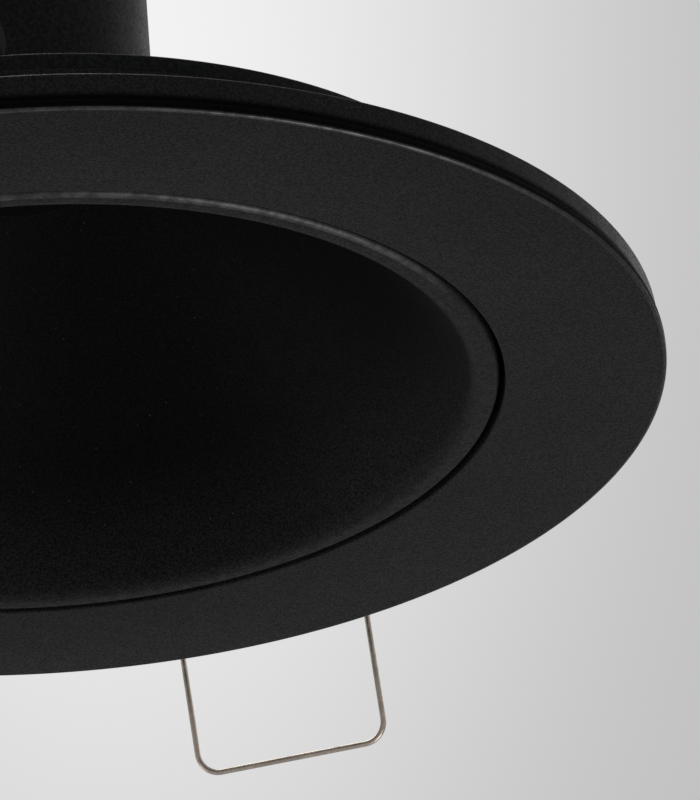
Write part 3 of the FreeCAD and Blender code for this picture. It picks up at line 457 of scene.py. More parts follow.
def turned(name, corners, steps=LARGE_STEPS):
    """A solid turned about Z. Its outline is drawn from one vertex, by extruding it along each run
    and spinning it round each arc. A corner is (radius, z), (radius, z, rounding) or (radius, z,
    (radius, z) of the centre of the arc that comes to it), in millimetres."""
    first = corners[0]
    piece = add("plane", name, size=MM, location=(first[0] * MM, 0, first[1] * MM))
    edit()
    bpy.ops.mesh.merge(type="CENTER")
    at = first
    for corner in [*corners[1:], first]:
        centre = corner[2] if len(corner) == 3 and isinstance(corner[2], tuple) else None
        if centre and corner is not first:
            angle = arc_angle(centre, at, corner)
            radius = math.dist(centre, corner[:2])
            bpy.ops.mesh.spin(steps=arc_runs(angle, radius), angle=angle, axis=(0, 1, 0),
                              center=(centre[0] * MM, 0, centre[1] * MM))
        else:
            run = ((corner[0] - at[0]) * MM, 0, (corner[1] - at[1]) * MM)
            bpy.ops.mesh.extrude_vertices_move(TRANSFORM_OT_translate={"value": run})
        at = corner
    bpy.ops.mesh.select_all(action="SELECT")
    bpy.ops.mesh.remove_doubles(threshold=MERGE)
    for corner in corners:
        if len(corner) == 3 and not isinstance(corner[2], tuple):
            point = Vector((corner[0] * MM, 0, corner[1] * MM))
            half_turn = corner_turn(bmesh.from_edit_mesh(piece.data), point)
            pick(piece, lambda co: (co - point).length < 2 * MERGE)
            bpy.ops.mesh.bevel(offset=corner[2] * MM * math.tan(half_turn), offset_type="OFFSET",
                               segments=arc_runs(2 * half_turn, corner[2]) + 2, profile=0.5,
                               affect="VERTICES", clamp_overlap=False)
    bpy.ops.mesh.select_all(action="SELECT")
    bpy.ops.mesh.spin(steps=steps, angle=TURN, center=(0, 0, 0), axis=(0, 0, 1))
    close_up()
    leave()
    return piece


def choose(*pieces):
    """Selects these pieces alone and makes the first one active."""
    bpy.ops.object.select_all(action="DESELECT")
    for piece in pieces:
        piece.select_set(True)
    bpy.context.view_layer.objects.active = pieces[0]


def placed(piece, location=(0, 0, 0), rotation=(0, 0, 0)):
    """Moves and turns a piece, and puts its place back in its mesh."""
    choose(piece)
    piece.rotation_euler = rotation
    piece.location = location
    bpy.ops.object.transform_apply(location=True, rotation=True, scale=True)
    return piece


def copy_of(piece, name):
    twin = piece.copy()
    twin.data = piece.data.copy()
    twin.name = name
    bpy.context.scene.collection.objects.link(twin)
    return twin


def joined(pieces):
    choose(*pieces)
    bpy.ops.object.join()
    return pieces[0]


def modified(piece, kind, **settings):
    """Adds a modifier and applies it."""
    choose(piece)
    modifier = piece.modifiers.new(kind.title(), kind)
    for name, value in settings.items():
        setattr(modifier, name, value)
    bpy.ops.object.modifier_apply(modifier=modifier.name)
    return piece


def boolean(piece, tool, operation="DIFFERENCE"):
    modified(piece, "BOOLEAN", object=tool, operation=operation, solver="EXACT")
    bpy.data.objects.remove(tool)
    return piece


def done(piece, node, slot, body="fixture", smooth=SMOOTH_ANGLE):
    """Gives a finished piece its finish, its smoothing and its body, and hides the node that it stands for.
    """
    choose(piece)
    bpy.ops.object.shade_smooth_by_angle(angle=smooth)
    piece.data.materials.clear()
    piece.data.materials.append(bpy.data.materials[slot])
    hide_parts(node)
    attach(piece, body)
    return piece


# --- operators

class FinishesOperator(bpy.types.Operator):
    """Gives every slot of the frame its finish"""
    bl_idname = "downlight.finishes"
    bl_label = "Finishes"

    def execute(self, context):
        c = colours()
        thinning = Thinning(-0.045, -0.012, 1.0, 0.3)
        front_edge = Bead(0.0795, -0.006, -0.00495, 1.0, EDGE_SOFT, thinning)
        back_edge = Bead(0.079, -0.0003, 0.001, 0.2, EDGE_SOFT, thinning)
        # The trim's step behind its front edge gets a painted shade.
        powder_coat("trim_black", c.trim, grain=0.00032, gloss=0.4, ior=1.32, mottle=(0.62, 1.43),
                    beads=[front_edge, back_edge], thin=PaintedStepShade(0.0785, -0.0049, -0.0033, -0.0024))
        inner_roll = Bead(0.0553, -0.007, -0.0034, 0.13, 0.0012)
        lip_edge = Bead(0.0579, -0.007, -0.0042, 0.85, EDGE_SOFT, Thinning(-0.024, -0.005, 1.0, 0.0))
        # The baffle is painted darker deep in its bowl and lighter towards its lip, as shade and light fall
        # there.
        powder_coat("baffle_black", c.baffle, grain=0.00028, gloss=0.5, specular=0.032,
                    mottle=(0.4, 1.75), radial_shade=Fade(0.044, 0.0575, 0.35, 1.6),
                    beads=[inner_roll, lip_edge], bead_gloss=0.42)
        powder_coat("casting_black", c.casting, grain=0.0005, gloss=0.42)
        plated("spring_wire", c.wire, gloss=0.34, grain=0.0004, stain=0.5)
        plated("bracket_zinc", c.zinc, gloss=0.36, grain=0.0006, brushed=(0.25, 1, 1), black_from=0.01573)
        plated("steel_screws", c.steel, gloss=0.26, grain=0.0003, stain=0.15)
        plated("clamp_brass", tone(208, 178, 104), gloss=0.28, grain=0.0005)
        rubber("gasket_rubber", c.sponge, pore=0.0011, depth=0.00022, gloss=0.86)
        rubber("rubber_seal", tone(30, 30, 31), pore=0.0003, depth=0.00002, gloss=0.6)
        rubber("pad_grey", tone(150, 152, 156), pore=0.0005, depth=0.00003, gloss=0.7)
        moulded("holder_white", tone(232, 231, 226), gloss=0.4)
        moulded("board_white", tone(238, 238, 236), gloss=0.3, mottle=0.03)
        moulded("lead_red", tone(150, 22, 20), gloss=0.38)
        moulded("lead_dark", tone(24, 24, 26), gloss=0.38)
        moulded("block_plastic", tone(214, 212, 204), gloss=0.42)
        moulded("gland_nylon", c.nylon, gloss=0.44)
        clear_glass("lens_glass")
        bright_cone("reflector_bright")
        phosphor("emitter_yellow")
        return {"FINISHED"}


def mm(name):
    """One of the sizes, in millimetres."""
    return getattr(sizes(), name) / MM


class Bowl:
    """The arc that the baffle and, outside it, the housing's bell follow: it leaves the lip's inner
    roll at LIP_ANGLE and ends at the baffle's top."""
    LIP_ANGLE = 56.0
    TOP_RADIUS = 15.0
    TOP_Z = 32.0
    OUTER_ROLL = 0.9
    INNER_ROLL = 2.2
    FLAT = 1.1

    def __init__(self, lip_radius, face_z):
        self.outer = (lip_radius - self.OUTER_ROLL, face_z + self.OUTER_ROLL)
        self.inner = (self.outer[0] - self.FLAT, face_z + self.INNER_ROLL)
        self.start = self.roll_end(self.INNER_ROLL)
        slope = math.radians(self.LIP_ANGLE)
        inward = (-math.sin(slope), -math.cos(slope))
        across, up = self.TOP_RADIUS - self.start[0], self.TOP_Z - self.start[1]
        self.radius = (across ** 2 + up ** 2) / (2 * (across * inward[0] + up * inward[1]))
        self.centre = (self.start[0] + inward[0] * self.radius, self.start[1] + inward[1] * self.radius)

    def roll_end(self, radius):
        """Where a roll of this radius about the inner roll's centre meets the bowl."""
        turn = math.radians(270 - self.LIP_ANGLE)
        return (self.inner[0] + radius * math.cos(turn), self.inner[1] + radius * math.sin(turn))

    def at_height(self, offset, z):
        """The point at this height on an arc this far outside the bowl."""
        radius = self.radius + offset
        return (self.centre[0] + math.sqrt(radius ** 2 - (z - self.centre[1]) ** 2), z)

    def at_radius(self, offset, reach):
        radius = self.radius + offset
        return (reach, self.centre[1] + math.sqrt(radius ** 2 - (reach - self.centre[0]) ** 2))


# Sizes in millimetres. The rim's back is at z 0.
COLLAR_HEIGHT = 10.8
COLLAR_BORE = 59.5
CAST_EDGE = 0.06
LIP_RADIUS = 58.8
BAFFLE_WALL = 1.0
BAFFLE_TOP_HOLE = 13.2
SKIRT_HEIGHT = 8.0
SKIRT_EDGE = 0.2
BELL_GAP = 1.4
BELL_WALL = 1.6
CHANNEL_OUTER = 77.0
CHANNEL_INNER = 62.0
CHANNEL_Z = -3.2
GASKET_GAP = 0.6
TRIM_SCREW_PLACES = [(55.0, 45.0 + 90.0 * i) for i in range(4)]
CAP_SCREW_PLACES = [(12.6, 32.0 + turn) for turn in (0.0, 180.0, -64.0, 116.0)]
TRIM_SCREW_LENGTH = 8.0
CAP_SCREW_LENGTH = 12.0
BOSS_RADIUS = 3.0
PILOT_RADIUS = 1.56
SCREW_HEAD = 2.8
SCREW_HEAD_HEIGHT = 1.65
SCREW_RADIUS = 1.5
SCREW_TIP = 0.4
HEAD_EDGE = 0.06
HAIR = 0.02  # between faces that would otherwise lie on one another
RECESS_SIZE = (2.9, 0.72, 1.1)
RECESS_MIDDLE = 0.45
RECESS_TAPER = 0.7
FIRST_TURN, NEXT_TURN = 0.7, 1.9  # of the screws' recesses, in radians
OVERCUT = 0.5  # how far a cutter stands out of what it cuts


def on_circle(radius, degrees, z=0.0):
    """A place on a circle about the light's axis, in metres."""
    turn = math.radians(degrees)
    return Vector((radius * math.cos(turn), radius * math.sin(turn), z)) * MM


def posts(radius, low_z, high_z, places):
    """Upright cylinders at places on a circle, as one piece."""
    made = [add("cylinder", "post", vertices=HOLE_STEPS, radius=radius * MM,
                depth=(high_z - low_z) * MM, location=on_circle(*place, (low_z + high_z) / 2))
            for place in places]
    return joined(made)


def countersinks(top, depth, places):
    """Cutters for sunk screws, a hair wider than the screws' heads."""
    head, shank = SCREW_HEAD + HAIR, SCREW_RADIUS + 0.2
    shoulder = top - SCREW_HEAD_HEIGHT
    cone = turned("countersink", [
        (0, top + OVERCUT), (head, top + OVERCUT), (head, top), (SCREW_RADIUS, shoulder),
        (shank, shoulder), (shank, top - depth), (0, top - depth)], HOLE_STEPS)
    made = [placed(copy_of(cone, "countersink"), on_circle(*place)) for place in places]
    bpy.data.objects.remove(cone)
    return joined(made)


def sunk_screws(name, top, length, places):
    """Countersunk screws with a tapered cross recess, each turned a little differently."""
    tip, face = top - length, top - HAIR
    head = SCREW_HEAD - HAIR - HEAD_EDGE
    screw = turned(name, [
        (0, face), (head, face, HEAD_EDGE), (SCREW_RADIUS, top - SCREW_HEAD_HEIGHT + HEAD_EDGE),
        (SCREW_RADIUS, tip + SCREW_TIP), (SCREW_RADIUS - SCREW_TIP, tip), (0, tip)], SMALL_STEPS)
    middle = (top - RECESS_MIDDLE) * MM
    for turn in (0, math.pi / 2):
        wing = add("cube", "recess", size=1.0, location=(0, 0, middle), rotation=(0, 0, turn),
                   scale=[side * MM for side in RECESS_SIZE])
        edit()
        pick(wing, lambda co: co.z < middle)
        bpy.ops.transform.resize(value=(RECESS_TAPER, RECESS_TAPER, 1), center_override=(0, 0, 0))
        leave()
        boolean(screw, wing)
    made = [placed(copy_of(screw, name), on_circle(*place), (0, 0, FIRST_TURN + NEXT_TURN * i))
            for i, place in enumerate(places)]
    bpy.data.objects.remove(screw)
    return joined(made)


def hexagon(name, across_flats, low_z, high_z):
    """A hexagonal bar with two corners on the X axis."""
    return add("cylinder", name, vertices=6, radius=across_flats / math.sqrt(3) * MM,
               depth=(high_z - low_z) * MM, location=(0, 0, (low_z + high_z) / 2 * MM),
               rotation=(0, 0, math.pi / 6))


class TrimOperator(bpy.types.Operator):
    """Adds the trim ring with its collar, the soffit gasket behind it and the screws in its ledge"""
    bl_idname = "downlight.trim"
    bl_label = "Trim ring"

    def execute(self, context):
        face, outer, collar = mm("face_z"), mm("trim_radius"), mm("collar_radius")
        toe, edge, heel = 0.4, 0.8, 0.7
        wall = outer - heel
        inner_edge, back_edge, channel_edge = 0.25, 0.5, 0.15
        ledge_inner, ledge_z = COLLAR_BORE - 6.9, COLLAR_HEIGHT - 2.5
        boss_z, boss_top, pilot_z = 3.9, COLLAR_HEIGHT - 0.01, 4.7
        ring = turned("trim_ring_dressed", [
            (COLLAR_BORE, face, inner_edge), (outer - toe, face),
            (outer, face + toe, (outer - toe, face + toe)), (outer, face + edge),
            (wall, face + edge + heel, (outer - heel, face + edge)), (wall, 0, back_edge),
            (CHANNEL_OUTER, 0, channel_edge), (CHANNEL_OUTER, CHANNEL_Z), (CHANNEL_INNER, CHANNEL_Z),
            (CHANNEL_INNER, 0, channel_edge), (collar, 0), (collar, COLLAR_HEIGHT, CAST_EDGE),
            (ledge_inner, COLLAR_HEIGHT), (ledge_inner, ledge_z), (COLLAR_BORE, ledge_z)])
        boolean(ring, posts(BOSS_RADIUS, boss_z, boss_top, TRIM_SCREW_PLACES), "UNION")
        boolean(ring, posts(PILOT_RADIUS, pilot_z, COLLAR_HEIGHT + OVERCUT, TRIM_SCREW_PLACES))
        done(ring, "trim_ring", "trim_black")
        inner, outer = CHANNEL_INNER + GASKET_GAP, CHANNEL_OUTER - GASKET_GAP
        glued_edge, free_edge = 0.2, 0.35
        gasket = turned("soffit_gasket_dressed", [
            (inner, CHANNEL_Z, glued_edge), (outer, CHANNEL_Z, glued_edge),
            (outer, 0, free_edge), (inner, 0, free_edge)])
        done(gasket, "soffit_gasket", "gasket_rubber")
        screws = sunk_screws("trim_screws_dressed", mm("flange_top"), TRIM_SCREW_LENGTH,
                             TRIM_SCREW_PLACES)
        done(screws, "trim_screws", "steel_screws")
        return {"FINISHED"}


class BaffleOperator(bpy.types.Operator):
    """Adds the spun baffle: a skirt, a rolled lip and the deep bowl up to the lens"""
    bl_idname = "downlight.baffle"
    bl_label = "Baffle"

    def execute(self, context):
        face = mm("face_z")
        bowl = Bowl(LIP_RADIUS, face)
        top = bowl.TOP_Z + BAFFLE_WALL
        skirt_top = face + SKIRT_HEIGHT
        inside = LIP_RADIUS - BAFFLE_WALL
        flat = bowl.inner[0]
        baffle = turned("baffle_cone_dressed", [
            (LIP_RADIUS, skirt_top, SKIRT_EDGE), (LIP_RADIUS, bowl.outer[1]),
            (bowl.outer[0], face, bowl.outer), (flat, face), (*bowl.start, bowl.inner),
            (bowl.TOP_RADIUS, bowl.TOP_Z, bowl.centre), (BAFFLE_TOP_HOLE, bowl.TOP_Z),
            (BAFFLE_TOP_HOLE, top), bowl.at_height(BAFFLE_WALL, top),
            (*bowl.roll_end(bowl.INNER_ROLL - BAFFLE_WALL), bowl.centre),
            (flat, face + BAFFLE_WALL, bowl.inner), (bowl.outer[0], face + BAFFLE_WALL),
            (inside, bowl.outer[1], bowl.outer), (inside, skirt_top, SKIRT_EDGE)])
        done(baffle, "baffle_cone", "baffle_black")
        return {"FINISHED"}


class HousingOperator(bpy.types.Operator):
    """Adds the cast housing: flange, bell, web and can, with its screw bosses and sunk holes"""
    bl_idname = "downlight.housing"
    bl_label = "Rear housing"

    def execute(self, context):
        bowl = Bowl(LIP_RADIUS, mm("face_z"))
        flange, collar, can, top = mm("flange_top"), mm("collar_radius"), mm("can_radius"), mm("can_top")
        mouth_z, ledge_z, web_z, web_top = 33.0, 39.5, 53.5, 57.5
        thread_bore, optic_bore, chamber_bore = 13.05, 10.8, 15.0
        web_round, bore_edge, can_edge, foot_round, flange_edge = 0.6, 0.2, 0.25, 2.2, 0.5
        bell_outer = BELL_GAP + BELL_WALL
        housing = turned("rear_housing_dressed", [
            bowl.at_height(BELL_GAP, COLLAR_HEIGHT), (*bowl.at_height(BELL_GAP, mouth_z), bowl.centre),
            (thread_bore, mouth_z), (thread_bore, ledge_z), (optic_bore, ledge_z), (optic_bore, web_z),
            (0, web_z), (0, web_top), (chamber_bore, web_top, web_round), (chamber_bore, top, bore_edge),
            (can, top, can_edge), (*bowl.at_radius(bell_outer, can), foot_round),
            (*bowl.at_height(bell_outer, flange), bowl.centre), (collar, flange, flange_edge),
            (collar, COLLAR_HEIGHT, CAST_EDGE)])
        boss_z, boss_top, pilot_z, screw_hole_depth = web_top - 0.1, top - HAIR, top - 6.9, 2.4
        boolean(housing, posts(BOSS_RADIUS, boss_z, boss_top, CAP_SCREW_PLACES), "UNION")
        boolean(housing, posts(PILOT_RADIUS, pilot_z, top + OVERCUT, CAP_SCREW_PLACES))
        boolean(housing, countersinks(flange, screw_hole_depth, TRIM_SCREW_PLACES))
        done(housing, "rear_housing", "casting_black")
        return {"FINISHED"}


class CapOperator(bpy.types.Operator):
    """Adds the rear cap and its four screws"""
    bl_idname = "downlight.cap"
    bl_label = "Rear cap"

    def execute(self, context):
        can, (underside, top) = mm("can_radius"), heights("rear_cap")
        hole, hole_edge, joint_edge, top_edge = 6.05, 0.2, 0.25, 1.0
        cap = turned("rear_cap_dressed", [
            (hole, underside), (can, underside, joint_edge), (can, top, top_edge), (hole, top, hole_edge)])
        boolean(cap, countersinks(top, top - underside + OVERCUT, CAP_SCREW_PLACES))
        done(cap, "rear_cap", "casting_black")
        screws = sunk_screws("cap_screws_dressed", top, CAP_SCREW_LENGTH, CAP_SCREW_PLACES)
        done(screws, "cap_screws", "steel_screws")
        return {"FINISHED"}


GLAND_FLATS = 15.0
GLAND_CORNER = 8.9


class GlandOperator(bpy.types.Operator):
    """Adds the cable gland: body with a chamfered hexagon, domed nut and rubber insert"""
    bl_idname = "downlight.gland"
    bl_label = "Cable gland"

    def execute(self, context):
        tail, stub_top = heights("gland_body")
        seat = tail + 9.0
        hex_top, seal_z = seat + 5.0, stub_top - 7.0
        done(self.body(tail, seat, hex_top, seal_z, stub_top), "gland_body", "gland_nylon")
        done(self.nut(*heights("gland_nut")), "gland_nut", "gland_nylon")
        hole, outer, lip_z, outer_edge, lip_round = 2.4, 4.7, stub_top + 0.6, 0.2, 0.6
        insert = turned("gland_insert_dressed", [
            (hole, seal_z), (outer, seal_z), (outer, lip_z, outer_edge), (hole, lip_z, lip_round)],
            SMALL_STEPS)
        done(insert, "gland_insert", "rubber_seal")
        return {"FINISHED"}

    def body(self, tail, seat, hex_top, seal_z, top):
        chamfer, thread, thread_edge, bore, seal_bore = 0.6, 6.0, 0.4, 4.0, 4.75
        body = hexagon("gland_body_dressed", GLAND_FLATS, seat, hex_top)
        boolean(body, turned("chamfers", [
            (0, seat), (GLAND_CORNER - 1, seat), (GLAND_CORNER, seat + chamfer),
            (GLAND_CORNER, hex_top - chamfer), (GLAND_CORNER - 1, hex_top), (0, hex_top)],
            SMALL_STEPS), "INTERSECT")
        boolean(body, turned("stub", [
            (0, tail), (thread, tail, thread_edge), (thread, top, thread_edge), (0, top)],
            SMALL_STEPS), "UNION")
        return boolean(body, turned("bore", [
            (0, tail - 1), (bore, tail - 1), (bore, seal_z), (seal_bore, seal_z),
            (seal_bore, top + 1), (0, top + 1)], SMALL_STEPS))

    def nut(self, base, top):
        shoulder, thread, inside_z, mouth, countersink = base + 6.0, 6.05, top - 2.7, 3.6, 0.5
        nut = hexagon("gland_nut_dressed", GLAND_FLATS, base, top)
        boolean(nut, turned("dome", [
            (0, base), (GLAND_CORNER - 0.9, base), (GLAND_CORNER, base + 0.5),
            (GLAND_CORNER, shoulder - 0.7), (7.45, shoulder + 0.15, 1.2), (6.6, shoulder + 2.4, 6.0),
            (5.2, top, 0.9), (0, top)], SMALL_STEPS), "INTERSECT")
        return boolean(nut, turned("mouth", [
            (0, base - 1), (thread, base - 1), (thread, inside_z), (mouth, inside_z),
            (mouth, top - countersink), (mouth + countersink, top), (mouth + countersink, top + 1),
            (0, top + 1)], SMALL_STEPS))


# The front clip. Its pin lies along X through PIVOT; the rear clip is the same turned half round.
PIVOT = Vector((0, 54.4, 17.8)) * MM
LEG_SLOPE = math.radians(-2.24)
FOOT_SLOPE = math.radians(-74.0)
LEG_END = Vector((0, 95.33, 13.5)) * MM - PIVOT
FOOT_END = Vector((0, 102.7, -12.2)) * MM - PIVOT
BEND_RADIUS = 10 * MM
CORNER_RADIUS = 3 * MM
BEND_STEPS = 14
CORNER_STEPS = 10
ARM_EYE = 13.5 * MM
COIL_FOOT = 8.1 * MM
COIL_PITCH = 0.85 * MM
COIL_TURNS = 4
COIL_STEPS = 32
COIL_TAIL = 6.3 * MM
LEFT = Vector((-1, 0, 0))


def swing(angle, centre, axis, steps):
    """Spins the selected ring of a wire about an axis, right-handed, leaving a bend behind it."""
    bpy.ops.mesh.spin(steps=steps, angle=-angle, center=centre, axis=axis)


def run(direction, distance):
    """Extrudes the selected ring of a wire along a straight run."""
    bpy.ops.mesh.extrude_region_move(TRANSFORM_OT_translate={"value": direction * distance})


def wire_turns(name, start, turns):
    """Close turns of wire about the pin, advancing along +X, from the middle of the wire's end."""
    heading = Vector((0, -start.z, start.y)).normalized()
    ring = add("circle", name, vertices=16, radius=sizes().wire_radius, fill_type="NOTHING",
               location=start, rotation=(math.atan2(heading.z, heading.y) - math.pi / 2, 0, 0))
    return modified(ring, "SCREW", axis="X", angle=TURN, screw_offset=COIL_PITCH, iterations=turns,
                    steps=COIL_STEPS, render_steps=COIL_STEPS, use_merge_vertices=False)


def pick_end(wire, middle):
    """In edit mode, selects the open end of a wire about this point."""
    reach = sizes().wire_radius * 1.02
    pick(wire, lambda co: (co - middle).length < reach)


def rear_copies(pieces):
    """The same pieces turned half round, for the rear clip."""
    return [placed(copy_of(piece, piece.name.replace("front", "rear")), rotation=(0, 0, math.pi))
            for piece in pieces]


class SpringsOperator(bpy.types.Operator):
    """Adds the torsion springs: anchored coils with their tails, and the swinging wire loops"""
    bl_idname = "downlight.springs"
    bl_label = "Springs"

    def execute(self, context):
        front = [self.coils(), self.arm()]
        self.finished(front, "front")
        self.finished(rear_copies(front), "rear")
        return {"FINISHED"}

    def finished(self, pieces, side):
        coils, arm = pieces
        done(coils, f"spring_coils_{side}", "spring_wire", "fixture", WIRE_SMOOTH_ANGLE)
        done(arm, f"spring_arm_{side}", "spring_wire", f"clip_{side}", WIRE_SMOOTH_ANGLE)

    def coils(self):
        foot = Vector((COIL_FOOT, 0, -sizes().coil_radius))
        end = foot + Vector((COIL_TURNS * COIL_PITCH, 0, 0))
        coil = wire_turns("spring_coils_front_dressed", foot, COIL_TURNS)
        edit()
        pick_end(coil, foot)
        run(Vector((0, -1, 0)), COIL_TAIL)
        bpy.ops.mesh.edge_face_add()
        pick_end(coil, end)
        bpy.ops.mesh.edge_face_add()
        return self.mirrored(coil, use_mirror_merge=False)

    def arm(self):
        radial = Vector((0, math.sin(LEG_SLOPE), -math.cos(LEG_SLOPE)))
        leg = Vector((0, math.cos(LEG_SLOPE), math.sin(LEG_SLOPE)))
        foot = Vector((0, math.cos(FOOT_SLOPE), math.sin(FOOT_SLOPE)))
        bend_turn = FOOT_SLOPE - LEG_SLOPE
        half_bend = BEND_RADIUS * math.tan(-bend_turn / 2)
        eye = Vector((ARM_EYE, 0, 0))
        end = radial * sizes().coil_radius + eye
        start = end - Vector((COIL_PITCH, 0, 0))
        bend, corner = eye + LEG_END, eye + FOOT_END
        arm = wire_turns("spring_arm_front_dressed", start, 1)
        edit()
        pick_end(arm, end)
        run(leg, (bend - end).length - half_bend)
        swing(bend_turn, bend - leg * half_bend + radial * BEND_RADIUS, (1, 0, 0), BEND_STEPS)
        run(foot, (corner - bend).length - half_bend - CORNER_RADIUS)
        swing(math.pi / 2, corner + (LEFT - foot) * CORNER_RADIUS, foot.cross(LEFT), CORNER_STEPS)
        run(LEFT, ARM_EYE - CORNER_RADIUS)
        pick_end(arm, start)
        bpy.ops.mesh.edge_face_add()
        return self.mirrored(arm, merge_threshold=0.02 * MM)

    def mirrored(self, wire, **settings):
        """Closes one half of a spring, mirrors it across the middle and puts it on its pin."""
        close_up()
        leave()
        modified(wire, "MIRROR", use_axis=(True, False, False), **settings)
        edit()
        face_out()
        leave()
        return placed(wire, PIVOT)


SHEET = 1.2
PRESSED_EDGE = 0.18 * MM
CHEEK_ROUND = 3.2
PIN_RADIUS = 1.8
PIN_STEPS = 64


class BracketsOperator(bpy.types.Operator):
    """Adds the pressed clip brackets, the pins through their cheeks and the rivets that hold them"""
    bl_idname = "downlight.brackets"
    bl_label = "Clip brackets"

    def execute(self, context):
        front = [self.bracket(), self.pin(), self.rivets()]
        rear = rear_copies(front)
        for side, (bracket, pin, _) in (("front", front), ("rear", rear)):
            done(bracket, f"clip_bracket_{side}", "bracket_zinc")
            done(pin, f"clip_pin_{side}", "bracket_zinc")
        done(joined([front[2], rear[2]]), "bracket_rivets", "steel_screws")
        return {"FINISHED"}

    def bracket(self):
        inner, outer, half = low("clip_bracket_front", "y") / MM, 58.0, 15.7
        under = heights("clip_bracket_front")[0]
        pivot_y, pivot_z = PIVOT.y / MM, PIVOT.z / MM
        top, close = pivot_z + CHEEK_ROUND, 0.1
        rest_across, rest_along, rest_up = (7.3, 8.9), (48.1, 51.1), (under + 1.0, under + SHEET + 0.5)
        plate = self.slab("clip_bracket_front_dressed", (-half, half), (inner, outer), (under, under + SHEET))

        def at_corner(co):
            along = abs(co.y / MM - pivot_y)
            return co.z / MM > top - close and abs(along - CHEEK_ROUND) < close

        for side in (-1, 1):
            cheek = self.slab("cheek", sorted((side * half, side * (half - SHEET))),
                              (pivot_y - CHEEK_ROUND, pivot_y + CHEEK_ROUND), (under, top))
            edit()
            pick(cheek, at_corner, "edges")
            bpy.ops.mesh.bevel(offset=(CHEEK_ROUND - 0.01) * MM, offset_type="OFFSET", segments=12,
                               profile=0.5, affect="EDGES", clamp_overlap=False)
            leave()
            boolean(plate, cheek, "UNION")
            rest = self.slab("rest", sorted(side * x for x in rest_across), rest_along, rest_up)
            boolean(plate, rest, "UNION")
        hole = add("cylinder", "hole", vertices=HOLE_STEPS, radius=(PIN_RADIUS + 0.05) * MM,
                   depth=40 * MM, location=PIVOT, rotation=(0, math.pi / 2, 0))
        boolean(plate, hole)
        return modified(plate, "BEVEL", width=PRESSED_EDGE, segments=3, limit_method="ANGLE",
                        angle_limit=math.radians(40), harden_normals=False)

    def slab(self, name, across, along, up):
        middle = Vector([sum(pair) / 2 for pair in (across, along, up)]) * MM
        scale = Vector([pair[1] - pair[0] for pair in (across, along, up)]) * MM
        return add("cube", name, size=1.0, location=middle, scale=scale)

    def pin(self):
        reach, head, outer_edge, inner_edge, dish_edge = 16.6, 2.6, 0.4, 0.12, 0.1
        inside, dish, dish_rim, dish_floor = reach - 0.9, reach - 0.35, 0.9, 0.5
        pin = turned("clip_pin_front_dressed", [
            (0, -reach), (head, -reach, outer_edge), (head, -inside, inner_edge), (PIN_RADIUS, -inside),
            (PIN_RADIUS, inside), (head, inside, inner_edge), (head, reach, outer_edge),
            (dish_rim, reach, dish_edge), (dish_floor, dish), (0, dish)], PIN_STEPS)
        return placed(pin, PIVOT, (0, math.pi / 2, 0))

    def rivets(self):
        floor = heights("clip_bracket_front")[0] + SHEET
        dome_radius, dome_height, head, shank, tail, tail_z = 3.864, 1.1, 2.7, 1.6, 2.1, 9.3
        rim, dish, dish_z = 0.95, 0.82, floor + 0.5
        dome = (0, floor + dome_height - dome_radius)
        rim_z = dome[1] + math.sqrt(dome_radius ** 2 - rim ** 2)
        rivet = turned("bracket_rivets_front_dressed", [
            (0, dish_z), (dish, dish_z), (rim, rim_z), (head, floor, dome), (shank, floor),
            (shank, COLLAR_HEIGHT), (tail, COLLAR_HEIGHT), (tail, tail_z, 0.5), (0, tail_z - 0.1)],
            HOLE_STEPS)
        x, y = 4.2 * MM, 48.6 * MM
        other = placed(copy_of(rivet, "rivet"), (-x, y, 0))
        return joined([placed(rivet, (x, y, 0)), other])


CAMERA_PLACE = (0.263103, -0.781796, -0.412709)
CAMERA_TURN = (116.3039, 4.1250, 17.8744)
CAMERA_LENS = 327.86
FLOOR_Z = -0.62

# Each lamp's name, place, diameter and power, in metres and watts.
LAMPS = [
    ("top_softbox", (-0.7, 0.5, 1.6), 1.4, 16.0),
    ("side_softbox", (1.21, 0.82, 0.62), 0.9, 2.0),
    ("back_softbox", (0.55, 1.5, 0.6), 0.8, 1.8),
    ("low_softbox", (0.27, 0.04, -0.6), 0.55, 3.0),
    ("left_softbox", (-1.0, 0.0, -0.42), 0.35, 1.6),
]


